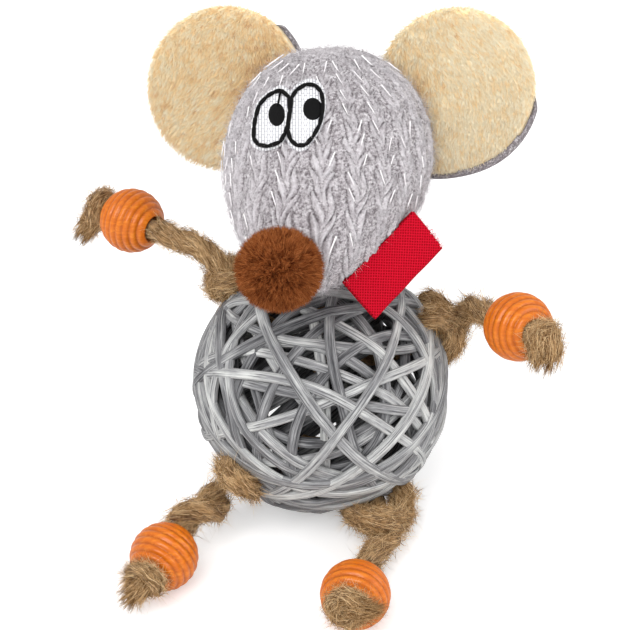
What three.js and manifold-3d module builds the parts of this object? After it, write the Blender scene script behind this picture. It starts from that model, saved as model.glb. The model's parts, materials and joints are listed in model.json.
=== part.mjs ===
// A mouse cat toy. A stuffed knitted head sits on a ball of wound cane, and four limbs of jute rope
// each carry a turned wooden bead. Millimetres, +Z up. The mouse faces -Y and rests on a floor at Z = 0
// on the underside of its ball and on the beads of its two legs.
// Left and right are the viewer's, who looks along +Y.
import * as THREE from "three";
import { mergeVertices } from "three/addons/utils/BufferGeometryUtils.js";
import Module from "manifold-3d";

const wasm = await Module();
wasm.setup();

const radians = THREE.MathUtils.degToRad;

// Shared by all pieces
const clearance = 0.35; // air between neighbouring pieces
const passage = 0.42; // air between a rope and the canes that part round it
const overrun = 4; // how far a cutting shape runs past what it cuts
const mergeDistance = 1e-4; // vertices closer than this are one

// Ball of wound cane
const ballRadius = 30;
const caneRadius = 1.3;
const layerGap = 0.45; // air between a layer of cane and the next one inside it
const caneTurns = 6;
const caneStepsPerTurn = 24;
const caneSides = 6;
const caneBandEdge = radians(40); // a cane starts and ends this far from the axis that it winds about
const partedReach = 2.5; // canes swing aside out to this many times the angle that they clear
const restCutShare = 0.1; // of the cane's diameter, cut flat where the ball rests
const canes = [
  { name: "cane_outer", azimuth: -51, elevation: 0 },
  { name: "cane_second", azimuth: -100, elevation: 50, start: 300 },
  { name: "cane_third", azimuth: 140, elevation: 45, start: 330 },
  { name: "cane_inner", azimuth: -40, elevation: -35, start: 60 },
];

// Ropes
const ropeRadius = 2.6;
const squeezedRadius = 2.1; // of a rope where it passes between canes and inside the ball
const ropeSides = 10;
const ropeSteps = 18;
const hitchRadius = 5.5; // of the lump of rope that is hitched round the canes at each limb
const hitchLift = 3; // of a hitch's centre over the ball, so that its underside sinks between canes
const pivotReach = 8.1; // from a hitch's centre to the point where its limb bends
const armsRopeShare = 0.3; // of the ball's radius, where the neck rope holds the arms' rope over the centre
const legsRopeShare = 0.467; // of the ball's radius, from its centre to the legs' rope halfway across
const endKnotRadius = 4;
const endKnotLength = 6.4;
const tailLength = 5.5;
const tailRadius = 2.1;
const hitchSegments = 12;
const hitchRings = 7;

// Beads
const beadRadius = 7.6;
const beadBore = 6; // diameter
const beadLip = 0.6; // flat ring round the mouth of the bore
const beadRidges = 8; // turned round it, from mouth to mouth
const beadSegments = 16;
const grooveDepth = 0.3;

// Each limb: where its hitch lies on the ball, which way the pivot lies from the hitch, which way the
// rope runs from the pivot, how far along it the bead's centre is, how far the bead slides towards the
// pivot, and how far the limb swings down and up. Angles are in degrees.
const limbs = [
  {
    name: "arm_left",
    hitch: { azimuth: 157.4, elevation: 44.8 },
    pivot: { azimuth: 146.3, elevation: 43.6 },
    heading: 143.9,
    rise: 2,
    beadDistance: 22.4,
    beadSlide: 8,
    swing: [-18, 30],
  },
  {
    name: "arm_right",
    hitch: { azimuth: 12, elevation: 19.4 },
    pivot: { azimuth: -31.8, elevation: 66 },
    heading: -63,
    rise: 14.2,
    beadDistance: 21.2,
    beadSlide: 8,
    swing: [-18, 30],
  },
  {
    name: "leg_left",
    hitch: { azimuth: -143.3, elevation: -30 },
    pivot: { azimuth: -132, elevation: -17.5 },
    heading: -118,
    beadDistance: 14.6,
    beadSlide: 1.2,
    swing: [-35, 40],
    swellRadius: 4.2,
    swellStart: 1.2,
    swellLength: 5,
  },
  {
    name: "leg_right",
    hitch: { azimuth: -52, elevation: -46 },
    pivot: { azimuth: -95.8, elevation: 3 },
    heading: -105.8,
    beadDistance: 23.2,
    beadSlide: 8,
    swing: [-35, 40],
  },
];

// Neck: a rope looped round the arms' rope, with a knot held in the head
const neckKnotRadius = 3.8;
const neckKnotHeight = 6.4; // of the knot's centre over the top of the ball
const neckLoopRadius = 1.5;
const neckLoopSides = 8;
const neckLoopSteps = 14;
const neckNod = 8; // degrees that the head can nod each way about the knot

// Head: an egg about a nose axis, narrower towards the nose
const headHalfLength = 31.9;
const headHalfWidth = 22;
const headTaperShare = 0.29;
const headBack = 2.8; // of the head's centre, behind the ball's
const headGap = 0.5; // air between the head and the ball under it
const headYaw = radians(-11);
const headPitch = radians(14.5);
const headRoll = radians(-4.2);
const coverWall = 1.6;
const eggRings = 13;
const eggSegments = 22;

// Eyes: embroidered thread that lies on the cover
const threadThickness = 0.5;
const eyeHalfWidth = 4;
const eyeHalfLength = 7.8;
const eyeLineWidth = 0.9;
const eyeSpacing = 8.6; // between the eyes' centres
const eyeForward = 4.6; // of the eyes' centres, from the head's centre towards the nose
const eyesRound = radians(-10); // both eyes sit a little to the left, round the nose axis
const eyeSlant = radians(12);
const pupilHalfWidth = 1.8;
const pupilHalfLength = 2.6;
const pupilAside = 0.9; // the pupils look a little to the viewer's right
const eyeSteps = 12;

// Nose pompom and the thread that ties it on
const pompomRadius = 8.9;
const pompomForward = 4.2; // of the pompom's centre, in front of the tip of the head
const pompomUp = 6.2;
const pompomSegments = 18;
const pompomRings = 12;
const noseThreadRadius = 0.8;
const noseThreadSides = 8;
const noseThreadDepth = 11; // of the thread's inner end, behind the pompom's centre

// Ears: padded discs sewn to the sides of the head
const earRadius = 18;
const earThickness = 9;
const earFrontWall = 2;
const earBackWall = 1.3;
const earAside = 26.3; // of an ear's centre, from the nose axis
const earBack = 24.6; // behind the head's centre
const earUp = 6;
const earLean = radians(-38);
const earTurn = radians(7); // the fronts turn in towards the nose
const earFullness = 0.8; // below 1, a disc is fuller towards its edge than a ball would be
const earFlop = 12; // degrees that an ear can bend each way at its root
const earRings = 4;
const earSegments = 18;

// Label: a folded ribbon sewn on by its open edge
const labelWidth = 21.8;
const labelReach = 10.6;
const ribbonThickness = 0.45;
const ribbonGap = 0.4;
const labelForward = 16.4; // of the middle of the sewn edge, towards the nose
const labelAside = 14.5;
const labelDown = 4.7;
const labelEdge = [0.589, 0.764, 0.263]; // the way that the sewn edge runs over the head
const labelOut = [0.572, -0.164, -0.804]; // the way that the label hangs out from it
const labelSeamWidth = 0.5; // of the stitching that joins the ribbon's two ends
const labelSeamPlace = 1; // of the stitching, out from the head
const labelFlap = 20; // degrees that the label can bend each way

// Colours
const greyCane = { color: 0x8d8f92, roughness: 0.8 };
const jute = { color: 0xa8845a, roughness: 0.95 };
const orangeWood = { color: 0xd8741f, roughness: 0.35 };
const greyKnit = { color: 0xa9a6ab, roughness: 0.95 };
const creamPlush = { color: 0xe6d0bd, roughness: 1 };
const whiteWadding = { color: 0xf2f0ea, roughness: 1 };
const whiteThread = { color: 0xf4f3f1, roughness: 0.6 };
const blackThread = { color: 0x1a1718, roughness: 0.6 };
const brownFur = { color: 0x9a5a37, roughness: 0.95 };
const redRibbon = { color: 0xcf1430, roughness: 0.7 };

const caneDiameter = 2 * caneRadius;
const restCut = restCutShare * caneDiameter;
const ballCentre = new THREE.Vector3(0, 0, ballRadius - restCut);
const caneFlatRadius = caneRadius * Math.cos(Math.PI / caneSides);
const layerPitch = caneDiameter + layerGap;
const innermostRadius = ballRadius - caneFlatRadius - (canes.length - 1) * layerPitch;
const innerBend = innermostRadius - caneRadius - passage; // where a rope turns across the ball
const beadBoreRadius = beadBore / 2;
const up = new THREE.Vector3(0, 0, 1);
const down = new THREE.Vector3(0, 0, -1);
const alongY = new THREE.Vector3(0, 1, 0);

// A direction from its angle round +Z and its angle up from the floor, in degrees.
function aim({ azimuth, elevation }) {
  const [around, rise] = [radians(azimuth), radians(elevation)];
  const level = Math.cos(rise);
  return new THREE.Vector3(level * Math.cos(around), level * Math.sin(around), Math.sin(rise));
}

function onBall(direction, radius) {
  return direction.clone().multiplyScalar(radius).add(ballCentre);
}

// Solids for cutting and joining

function solidOf(geometry, matrix) {
  const bare = geometry.index ? geometry.toNonIndexed() : geometry.clone();
  bare.deleteAttribute("normal");
  bare.deleteAttribute("uv");
  if (matrix) {
    bare.applyMatrix4(matrix);
  }
  const merged = mergeVertices(bare, mergeDistance);
  const corners = [];
  for (let i = 0; i < merged.index.count; i += 3) {
    const [a, b, c] = [merged.index.getX(i), merged.index.getX(i + 1), merged.index.getX(i + 2)];
    if (a !== b && b !== c && a !== c) {
      corners.push(a, b, c);
    }
  }
  const vertProperties = new Float32Array(merged.attributes.position.array);
  const triVerts = new Uint32Array(corners);
  return new wasm.Manifold(new wasm.Mesh({ numProp: 3, vertProperties, triVerts }));
}

function geometryOf(solid) {
  const { vertProperties, triVerts } = solid.getMesh();
  const geometry = new THREE.BufferGeometry();
  geometry.setAttribute("position", new THREE.BufferAttribute(new Float32Array(vertProperties), 3));
  geometry.setIndex(new THREE.BufferAttribute(new Uint32Array(triVerts), 1));
  return geometry;
}

function meshOf(name, shape, look) {
  const geometry = shape instanceof THREE.BufferGeometry ? shape : geometryOf(shape);
  geometry.computeVertexNormals();
  const mesh = new THREE.Mesh(geometry, new THREE.MeshStandardMaterial({ ...look, metalness: 0 }));
  mesh.name = name;
  return mesh;
}

// Notes on a moving piece how it moves, in its own frame: a point of its hinge, the axis and the range.
function moving(piece, kind, axis, range, point = [0, 0, 0]) {
  piece.userData.motion = { kind, axis, range, point };
  return piece;
}

// A solid of revolution about Y. The profile runs from low Y to high Y on its outside.
function turned(profile, segments) {
  return new THREE.LatheGeometry(profile, segments);
}

// Places the Y axis of a turned shape along a direction, with its origin at a point.
function placed(point, direction) {
  const turn = new THREE.Quaternion().setFromUnitVectors(alongY, direction);
  return new THREE.Matrix4().compose(point, turn, new THREE.Vector3(1, 1, 1));
}

function ball(radius, centre, segments = hitchSegments, rings = hitchRings) {
  const profile = [];
  for (let i = 0; i <= rings; i++) {
    const polar = (Math.PI * i) / rings;
    const ringRadius = i === 0 || i === rings ? 0 : radius * Math.sin(polar);
    profile.push(new THREE.Vector2(ringRadius, -radius * Math.cos(polar)));
  }
  return solidOf(turned(profile, segments), new THREE.Matrix4().setPosition(centre));
}

// A round bar along a route of points.
function ropeAlong(points, radius) {
  const section = new THREE.Shape().absarc(0, 0, radius, 0, 2 * Math.PI);
  const route = new THREE.CatmullRomCurve3(points, false, "centripetal");
  return solidOf(
    new THREE.ExtrudeGeometry(section, {
      steps: ropeSteps,
      curveSegments: ropeSides / 2,
      extrudePath: route,
    }),
  );
}

function bar(from, to, radius, sides = ropeSides) {
  const length = from.distanceTo(to);
  const middle = from.clone().lerp(to, 1 / 2);
  const direction = to.clone().sub(from).normalize();
  return solidOf(new THREE.CylinderGeometry(radius, radius, length, sides), placed(middle, direction));
}

// Limbs

function limbFrame(limb) {
  const hitchDirection = aim(limb.hitch);
  const hitch = onBall(hitchDirection, ballRadius + hitchLift);
  const pivot = aim(limb.pivot).multiplyScalar(pivotReach).add(hitch);
  // A leg dips so that its bead rests on the floor. An arm has its own rise.
  const dip = (beadRadius - pivot.z) / limb.beadDistance;
  const elevation = limb.rise === undefined ? THREE.MathUtils.radToDeg(Math.asin(dip)) : limb.rise;
  const direction = aim({ azimuth: limb.heading, elevation });
  return { hitchDirection, hitch, pivot, direction };
}

const limbFrames = new Map(limbs.map((limb) => [limb.name, limbFrame(limb)]));

// The outline of a swelling in a rope, such as a knot.
function swellPoints(start, length, radius) {
  const shares = [0, 1 / 8, 1 / 3, 2 / 3, 7 / 8, 1];
  return shares.map((share) => {
    const swell = (radius - ropeRadius) * Math.sqrt(Math.sin(Math.PI * share));
    return new THREE.Vector2(ropeRadius + swell, start + length * share);
  });
}

function beadHalfLength() {
  const mouthRadius = beadBoreRadius + beadLip;
  return Math.sqrt(beadRadius ** 2 - mouthRadius ** 2);
}

// The rope of one limb: a round end at the pivot, the run through the bead, the end knot and its tail.
function limbRope(limb) {
  const profile = [];
  for (const polar of [0, 30, 60]) {
    const ringRadius = ropeRadius * Math.sin(radians(polar));
    profile.push(new THREE.Vector2(ringRadius, -ropeRadius * Math.cos(radians(polar))));
  }
  profile.push(new THREE.Vector2(ropeRadius, 0));
  if (limb.swellRadius) {
    profile.push(...swellPoints(limb.swellStart, limb.swellLength, limb.swellRadius));
  }
  const knotStart = limb.beadDistance + beadHalfLength() + clearance;
  const tailEnd = knotStart + endKnotLength + tailLength;
  profile.push(...swellPoints(knotStart, endKnotLength, endKnotRadius));
  profile.push(new THREE.Vector2(tailRadius, tailEnd));
  profile.push(new THREE.Vector2(0, tailEnd));
  return turned(profile, ropeSides);
}

function bead() {
  const mouth = Math.asin((beadBoreRadius + beadLip) / beadRadius);
  const profile = [new THREE.Vector2(beadBoreRadius, -beadHalfLength())];
  const steps = 2 * beadRidges;
  for (let i = 0; i <= steps; i++) {
    const polar = mouth + ((Math.PI - 2 * mouth) * i) / steps;
    const inValley = i % 2 === 0 && i > 0 && i < steps;
    const reach = beadRadius - (inValley ? grooveDepth : 0);
    profile.push(new THREE.Vector2(reach * Math.sin(polar), -reach * Math.cos(polar)));
  }
  profile.push(new THREE.Vector2(beadBoreRadius, beadHalfLength()));
  profile.push(profile[0].clone());
  return turned(profile, beadSegments);
}

// A limb's own Y axis runs out along its rope, and it swings up about its own X axis.
function limbMeshes(limb) {
  const { pivot, direction } = limbFrames.get(limb.name);
  const across = new THREE.Vector3().crossVectors(direction, up).normalize();
  const over = new THREE.Vector3().crossVectors(across, direction);
  const group = new THREE.Group();
  group.applyMatrix4(new THREE.Matrix4().makeBasis(across, direction, over).setPosition(pivot));
  const beadMesh = meshOf(limb.name + "_bead", bead(), orangeWood);
  beadMesh.position.y = limb.beadDistance;
  moving(beadMesh, "slide", [0, -1, 0], [0, limb.beadSlide]);
  group.add(meshOf(limb.name + "_rope", limbRope(limb), jute), beadMesh);
  return moving(group, "hinge", [1, 0, 0], limb.swing);
}

// A rope across the ball from one hitch to another, with both hitches, which the outer cane grooves.
function crossRope(firstName, secondName, middle) {
  const ends = [limbFrames.get(firstName), limbFrames.get(secondName)];
  const [first, second] = ends.map(({ hitchDirection, hitch }) => [
    hitch,
    onBall(hitchDirection, (ballRadius + innerBend) / 2),
    onBall(hitchDirection, innerBend),
  ]);
  let rope = ropeAlong([...first, middle, ...second.reverse()], squeezedRadius);
  for (const { hitch, pivot } of ends) {
    rope = rope.add(ball(hitchRadius, hitch)).subtract(ball(ropeRadius + clearance, pivot));
  }
  return rope.subtract(solidOf(caneTube(caneRoutes[0], caneRadius + clearance)));
}

const [leftArmWay, rightArmWay, leftLegWay, rightLegWay] = limbs.map((limb) => aim(limb.hitch));
const armsRopeHeight = armsRopeShare * ballRadius;
const armsMiddle = onBall(up, armsRopeHeight);
const legsWay = leftLegWay.clone().add(rightLegWay).normalize();
const legsMiddle = onBall(legsWay, legsRopeShare * ballRadius);
const neckKnot = onBall(up, ballRadius + neckKnotHeight);

// Neck

function neckRope() {
  const alongArms = rightArmWay.clone().sub(leftArmWay).normalize();
  const loopMiddle = squeezedRadius + clearance + neckLoopRadius;
  const loopProfile = [];
  for (let i = 0; i <= neckLoopSides; i++) {
    const angle = (2 * Math.PI * (i % neckLoopSides)) / neckLoopSides;
    const ringRadius = loopMiddle + neckLoopRadius * Math.cos(angle);
    loopProfile.push(new THREE.Vector2(ringRadius, neckLoopRadius * Math.sin(angle)));
  }
  const loop = solidOf(turned(loopProfile, neckLoopSteps), placed(armsMiddle, alongArms));
  const shaft = bar(onBall(up, armsRopeHeight + loopMiddle), neckKnot, squeezedRadius);
  return loop.add(shaft).add(ball(neckKnotRadius, neckKnot));
}

// Cane

// The ropes and the neck pass out between canes, so a cane's route swings round each of them.
const ropeExits = [up, leftArmWay, rightArmWay, leftLegWay, rightLegWay];

function parted(point, radius) {
  const needed = squeezedRadius + caneRadius + passage;
  const halfStep = Math.PI / caneStepsPerTurn;
  const clearAngle = Math.acos(Math.cos(Math.asin(needed / radius)) * Math.cos(halfStep));
  const reachAngle = partedReach * clearAngle;
  for (const exit of ropeExits) {
    const angle = point.angleTo(exit);
    if (angle < reachAngle) {
      const wanted = clearAngle + angle * (1 - clearAngle / reachAngle);
      const hinge = new THREE.Vector3().crossVectors(exit, point).normalize();
      point.applyAxisAngle(hinge, wanted - angle);
    }
  }
  return point;
}

// A cane winds about its own axis, from near one pole of the ball to near the other.
function caneRoute(cane, layer) {
  const radius = ballRadius - caneFlatRadius - layer * layerPitch;
  const axis = aim(cane);
  const first = layer === 0 ? down : new THREE.Vector3().crossVectors(axis, up).normalize();
  const second = new THREE.Vector3().crossVectors(axis, first);
  const steps = caneTurns * caneStepsPerTurn;
  // The outer cane passes straight under the ball, with a straight stretch centred there.
  const halfwayAngle = (2 * Math.PI * (steps / 2 + 1 / 2)) / caneStepsPerTurn;
  const start = cane.start === undefined ? -halfwayAngle : radians(cane.start);
  const points = [];
  for (let i = 0; i <= steps; i++) {
    const polar = caneBandEdge + (Math.PI - 2 * caneBandEdge) * (i / steps);
    const around = start + (2 * Math.PI * i) / caneStepsPerTurn;
    const point = axis.clone().multiplyScalar(Math.cos(polar));
    point.addScaledVector(first, Math.sin(polar) * Math.cos(around));
    point.addScaledVector(second, Math.sin(polar) * Math.sin(around));
    points.push(onBall(parted(point.normalize(), radius), radius));
  }
  return points;
}

const caneRoutes = canes.map(caneRoute);

// One unbroken tube whose flats face out from the ball.
function caneTube(points, radius) {
  const positions = [];
  const corners = [];
  points.forEach((point, i) => {
    const before = points[Math.max(i - 1, 0)];
    const after = points[Math.min(i + 1, points.length - 1)];
    const along = after.clone().sub(before).normalize();
    const side = new THREE.Vector3().crossVectors(along, point.clone().sub(ballCentre)).normalize();
    const outward = new THREE.Vector3().crossVectors(side, along);
    for (let k = 0; k < caneSides; k++) {
      const angle = (2 * Math.PI * (k + 1 / 2)) / caneSides;
      const corner = point.clone();
      corner.addScaledVector(outward, radius * Math.cos(angle));
      corner.addScaledVector(side, radius * Math.sin(angle));
      positions.push(...corner.toArray());
    }
  });
  for (let i = 0; i + 1 < points.length; i++) {
    for (let k = 0; k < caneSides; k++) {
      const [a, b] = [i * caneSides + k, i * caneSides + ((k + 1) % caneSides)];
      corners.push(a, b, a + caneSides, b, b + caneSides, a + caneSides);
    }
  }
  const lastRing = (points.length - 1) * caneSides;
  for (let k = 1; k + 1 < caneSides; k++) {
    corners.push(0, k + 1, k, lastRing, lastRing + k, lastRing + k + 1);
  }
  const geometry = new THREE.BufferGeometry();
  geometry.setAttribute("position", new THREE.Float32BufferAttribute(positions, 3));
  geometry.setIndex(corners);
  return geometry;
}

// The least air between two stretches of one cane, measured between its points and their midpoints.
function leastSelfGap(points) {
  const samples = points.flatMap((point, i) =>
    i + 1 < points.length ? [point, point.clone().lerp(points[i + 1], 1 / 2)] : [point],
  );
  let least = Infinity;
  for (let i = 0; i < samples.length; i++) {
    for (let j = i + caneStepsPerTurn; j < samples.length; j++) {
      least = Math.min(least, samples[i].distanceTo(samples[j]));
    }
  }
  return least - caneDiameter;
}

function caneMeshes() {
  const floor = new THREE.BoxGeometry(ballRadius, ballRadius, overrun);
  const underFloor = solidOf(floor.translate(0, 0, -overrun / 2));
  return canes.map((cane, layer) => {
    const selfGap = leastSelfGap(caneRoutes[layer]);
    console.log(cane.name + ": least gap to itself " + selfGap.toFixed(2) + " mm");
    const tube = caneTube(caneRoutes[layer], caneRadius);
    return meshOf(cane.name, layer === 0 ? solidOf(tube).subtract(underFloor) : tube, greyCane);
  });
}

// Head

// The outline of the egg, grown outwards by a distance. The nose points along -Y.
function eggProfile(grown) {
  const profile = [];
  for (let i = 0; i <= eggRings; i++) {
    const share = -Math.cos((Math.PI * i) / eggRings);
    const round = i === 0 || i === eggRings ? 0 : Math.sqrt(1 - share ** 2);
    const ringRadius = (headHalfWidth + grown) * round * (1 + headTaperShare * share);
    profile.push(new THREE.Vector2(ringRadius, (headHalfLength + grown) * share));
  }
  return profile;
}

function egg(grown) {
  return solidOf(turned(eggProfile(grown), eggSegments));
}

// The radius of the egg at a distance from its centre towards the nose.
function eggRadiusAt(forward) {
  const share = -forward / headHalfLength;
  return headHalfWidth * Math.sqrt(1 - share ** 2) * (1 + headTaperShare * share);
}

// The head comes down until it lies a small gap over the ball.
function headMatrix() {
  const turn = new THREE.Euler(headPitch, headRoll, headYaw, "ZXY");
  const matrix = new THREE.Matrix4().makeRotationFromEuler(turn);
  const surface = new THREE.LatheGeometry(eggProfile(0), eggSegments).applyMatrix4(matrix);
  const places = surface.attributes.position;
  const reach = ballRadius + headGap;
  let height = 0;
  for (let i = 0; i < places.count; i++) {
    const across = Math.hypot(places.getX(i), places.getY(i) + headBack);
    if (across < reach) {
      height = Math.max(height, Math.sqrt(reach ** 2 - across ** 2) - places.getZ(i));
    }
  }
  return matrix.setPosition(0, headBack, ballCentre.z + height);
}

const headPlace = headMatrix();
const worldToHead = headPlace.clone().invert();

function inHead(point) {
  return point.clone().applyMatrix4(worldToHead);
}

// The room that the neck knot and its rope need inside the head while it nods.
function neckHollow(knotRoom, ropeRoom) {
  const knot = inHead(neckKnot);
  const ropeWay = down.clone().transformDirection(worldToHead);
  const end = knot.clone().addScaledVector(ropeWay, neckKnotHeight + overrun);
  return ball(knotRoom, knot).add(bar(knot, end, ropeRoom));
}

function pompomCentre() {
  return new THREE.Vector3(0, -headHalfLength - pompomForward, pompomUp);
}

function noseThreadEnds() {
  const outer = pompomCentre();
  const inner = outer.clone().add(new THREE.Vector3(0, noseThreadDepth, 0));
  return [inner, outer];
}

function headCover() {
  const [inner, outer] = noseThreadEnds();
  const nodRoom = neckKnotHeight * Math.sin(radians(neckNod));
  const opening = neckHollow(neckKnotRadius + clearance, squeezedRadius + clearance + nodRoom);
  return egg(0)
    .subtract(egg(-coverWall))
    .subtract(opening)
    .subtract(bar(inner, outer, noseThreadRadius + clearance));
}

function headFilling() {
  const [inner, outer] = noseThreadEnds();
  const start = inner.clone().add(new THREE.Vector3(0, clearance, 0));
  const room = neckKnotRadius + 2 * clearance;
  return egg(-coverWall - clearance)
    .subtract(neckHollow(room, room))
    .subtract(bar(start, outer, noseThreadRadius + clearance));
}

function nosePompom() {
  const [inner, outer] = noseThreadEnds();
  const end = outer.clone().sub(new THREE.Vector3(0, clearance, 0));
  return ball(pompomRadius, pompomCentre(), pompomSegments, pompomRings)
    .subtract(egg(clearance))
    .subtract(bar(inner, end, noseThreadRadius + clearance));
}

// Eyes

// A flat ellipse run through the surface of the head, turned to face out of it.
function eyePrism(side, halfWidth, halfLength, aside) {
  const outline = new THREE.Shape().absellipse(aside, 0, halfWidth, halfLength, 0, 2 * Math.PI);
  const geometry = new THREE.ExtrudeGeometry(outline, {
    depth: 2 * overrun,
    bevelEnabled: false,
    curveSegments: eyeSteps / 2,
  });
  const eggRadius = eggRadiusAt(eyeForward);
  const around = Math.asin((side * eyeSpacing) / 2 / eggRadius) + eyesRound;
  const matrix = new THREE.Matrix4()
    .makeTranslation(0, -eyeForward, 0)
    .multiply(new THREE.Matrix4().makeRotationY(around))
    .multiply(new THREE.Matrix4().makeTranslation(0, 0, eggRadius - overrun))
    .multiply(new THREE.Matrix4().makeRotationZ(eyeSlant));
  return solidOf(geometry, matrix);
}

function threadSkin() {
  return egg(clearance + threadThickness).subtract(egg(clearance));
}

function eyeMeshes(side, name) {
  const skin = threadSkin();
  const outer = eyePrism(side, eyeHalfWidth, eyeHalfLength, 0);
  const lineInner = eyePrism(side, eyeHalfWidth - eyeLineWidth, eyeHalfLength - eyeLineWidth, 0);
  const inset = eyeLineWidth + clearance;
  const white = eyePrism(side, eyeHalfWidth - inset, eyeHalfLength - inset, 0);
  const pupilHole = eyePrism(side, pupilHalfWidth + clearance, pupilHalfLength + clearance, pupilAside);
  const pupil = eyePrism(side, pupilHalfWidth, pupilHalfLength, pupilAside);
  const innerWhite = white.subtract(pupilHole);
  return [
    meshOf(name + "_outline", skin.intersect(outer.subtract(lineInner)), blackThread),
    meshOf(name + "_white", skin.intersect(innerWhite), whiteThread),
    meshOf(name + "_pupil", skin.intersect(pupil.intersect(white)), blackThread),
  ];
}

// Ears

function earProfile(thickness, radius) {
  const profile = [];
  for (let i = 0; i <= earRings; i++) {
    const angle = (Math.PI / 2) * (i / earRings);
    const ringRadius = i === 0 ? 0 : radius * Math.sin(angle);
    profile.push(new THREE.Vector2(ringRadius, (-thickness / 2) * Math.cos(angle) ** earFullness));
  }
  profile[earRings].y = 0;
  return profile;
}

// Half of a padded disc as a bowl. The front bowl bulges to -Y.
function earBowl(wall, isFront) {
  const outer = earProfile(earThickness, earRadius);
  const inner = earProfile(earThickness - 2 * wall, earRadius - wall);
  const seam = clearance / 2;
  const profile = [...outer, ...inner.reverse()].map((p) => new THREE.Vector2(p.x, p.y - seam));
  const bowl = solidOf(turned(profile, earSegments));
  return isFront ? bowl : bowl.rotate([180, 0, 0]);
}

function earPadding() {
  const paddingRadius = earRadius - earFrontWall - clearance;
  const front = earProfile(earThickness - 2 * (earFrontWall + clearance), paddingRadius);
  const back = earProfile(earThickness - 2 * (earBackWall + clearance), paddingRadius);
  const flipped = back.slice(0, -1).map((p) => new THREE.Vector2(p.x, -p.y)).reverse();
  return solidOf(turned([...front, ...flipped], earSegments));
}

function earMatrix(side) {
  return new THREE.Matrix4()
    .makeTranslation(side * earAside, earBack, earUp)
    .multiply(new THREE.Matrix4().makeRotationZ(-side * earTurn))
    .multiply(new THREE.Matrix4().makeRotationX(earLean));
}

// The distance from an ear's centre to its root on the head, along the ear's own width.
function earRootDistance(side) {
  const matrix = earMatrix(side);
  const point = new THREE.Vector3();
  const step = clearance / 2;
  for (let distance = 0; distance < earRadius; distance += step) {
    point.set(-side * distance, 0, 0).applyMatrix4(matrix);
    if (Math.hypot(point.x, point.z) < eggRadiusAt(-point.y)) {
      return distance - step;
    }
  }
  return earRadius;
}

// The head, swept through the bends of an ear about its root, in the ear's own frame.
function earCutter(side) {
  const toEar = earMatrix(side).invert();
  const head = solidOf(turned(eggProfile(clearance), eggSegments), toEar);
  const root = -side * earRootDistance(side);
  let cutter = head;
  for (const bend of [-earFlop, earFlop]) {
    cutter = cutter.add(head.translate([-root, 0, 0]).rotate([0, 0, bend]).translate([root, 0, 0]));
  }
  return cutter;
}

function earMeshes(side, name) {
  const cutter = earCutter(side);
  const group = new THREE.Group();
  group.applyMatrix4(earMatrix(side));
  group.add(
    meshOf(name + "_front", earBowl(earFrontWall, true).subtract(cutter), creamPlush),
    meshOf(name + "_back", earBowl(earBackWall, false).subtract(cutter), greyKnit),
    meshOf(name + "_wadding", earPadding().subtract(cutter), whiteWadding),
  );
  return moving(group, "hinge", [0, 0, 1], [-earFlop, earFlop], [-side * earRootDistance(side), 0, 0]);
}

// Label

// The ribbon runs out, folds over and comes back. Its sewn edge lies on the head.
function labelMesh() {
  const middle = new THREE.Vector3(labelAside, -labelForward, -labelDown);
  const edge = new THREE.Vector3(...labelEdge).normalize();
  const out = new THREE.Vector3(...labelOut);
  out.addScaledVector(edge, -out.dot(edge)).normalize();
  const face = new THREE.Vector3().crossVectors(edge, out);
  const matrix = new THREE.Matrix4().makeBasis(edge, out, face).setPosition(middle);
  const thickness = 2 * ribbonThickness + ribbonGap;
  const length = labelReach + overrun;
  const whole = solidOf(
    new THREE.BoxGeometry(labelWidth, length, thickness).translate(0, labelReach - length / 2, 0),
  );
  const slit = solidOf(
    new THREE.BoxGeometry(labelWidth + overrun, length, ribbonGap).translate(
      0,
      labelReach - ribbonThickness - length / 2,
      0,
    ),
  );
  const seam = solidOf(
    new THREE.BoxGeometry(labelWidth, labelSeamWidth, thickness).translate(0, labelSeamPlace, 0),
  );
  const toLabel = matrix.clone().invert();
  const head = solidOf(turned(eggProfile(clearance), eggSegments), toLabel);
  const cutter = head.add(head.rotate([labelFlap, 0, 0])).add(head.rotate([-labelFlap, 0, 0]));
  const mesh = meshOf("label_ribbon", whole.subtract(slit).add(seam).subtract(cutter), redRibbon);
  mesh.applyMatrix4(matrix);
  return moving(mesh, "hinge", [1, 0, 0], [-labelFlap, labelFlap]);
}

const headGroup = new THREE.Group();
headGroup.applyMatrix4(headPlace);
headGroup.add(
  meshOf("head_cover", headCover(), greyKnit),
  meshOf("head_filling", headFilling(), whiteWadding),
  meshOf("nose_pompom", nosePompom(), brownFur),
  meshOf("nose_thread", bar(...noseThreadEnds(), noseThreadRadius, noseThreadSides), brownFur),
  ...eyeMeshes(-1, "eye_left"),
  ...eyeMeshes(1, "eye_right"),
  earMeshes(-1, "ear_left"),
  earMeshes(1, "ear_right"),
  labelMesh(),
);
moving(headGroup, "hinge", [1, 0, 0], [-neckNod, neckNod], inHead(neckKnot).toArray());

const toy = new THREE.Group();
toy.add(
  ...caneMeshes(),
  meshOf("arms_rope", crossRope("arm_left", "arm_right", armsMiddle), jute),
  meshOf("legs_rope", crossRope("leg_left", "leg_right", legsMiddle), jute),
  meshOf("neck_rope", neckRope(), jute),
  ...limbs.map(limbMeshes),
  headGroup,
);

export default toy;
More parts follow.
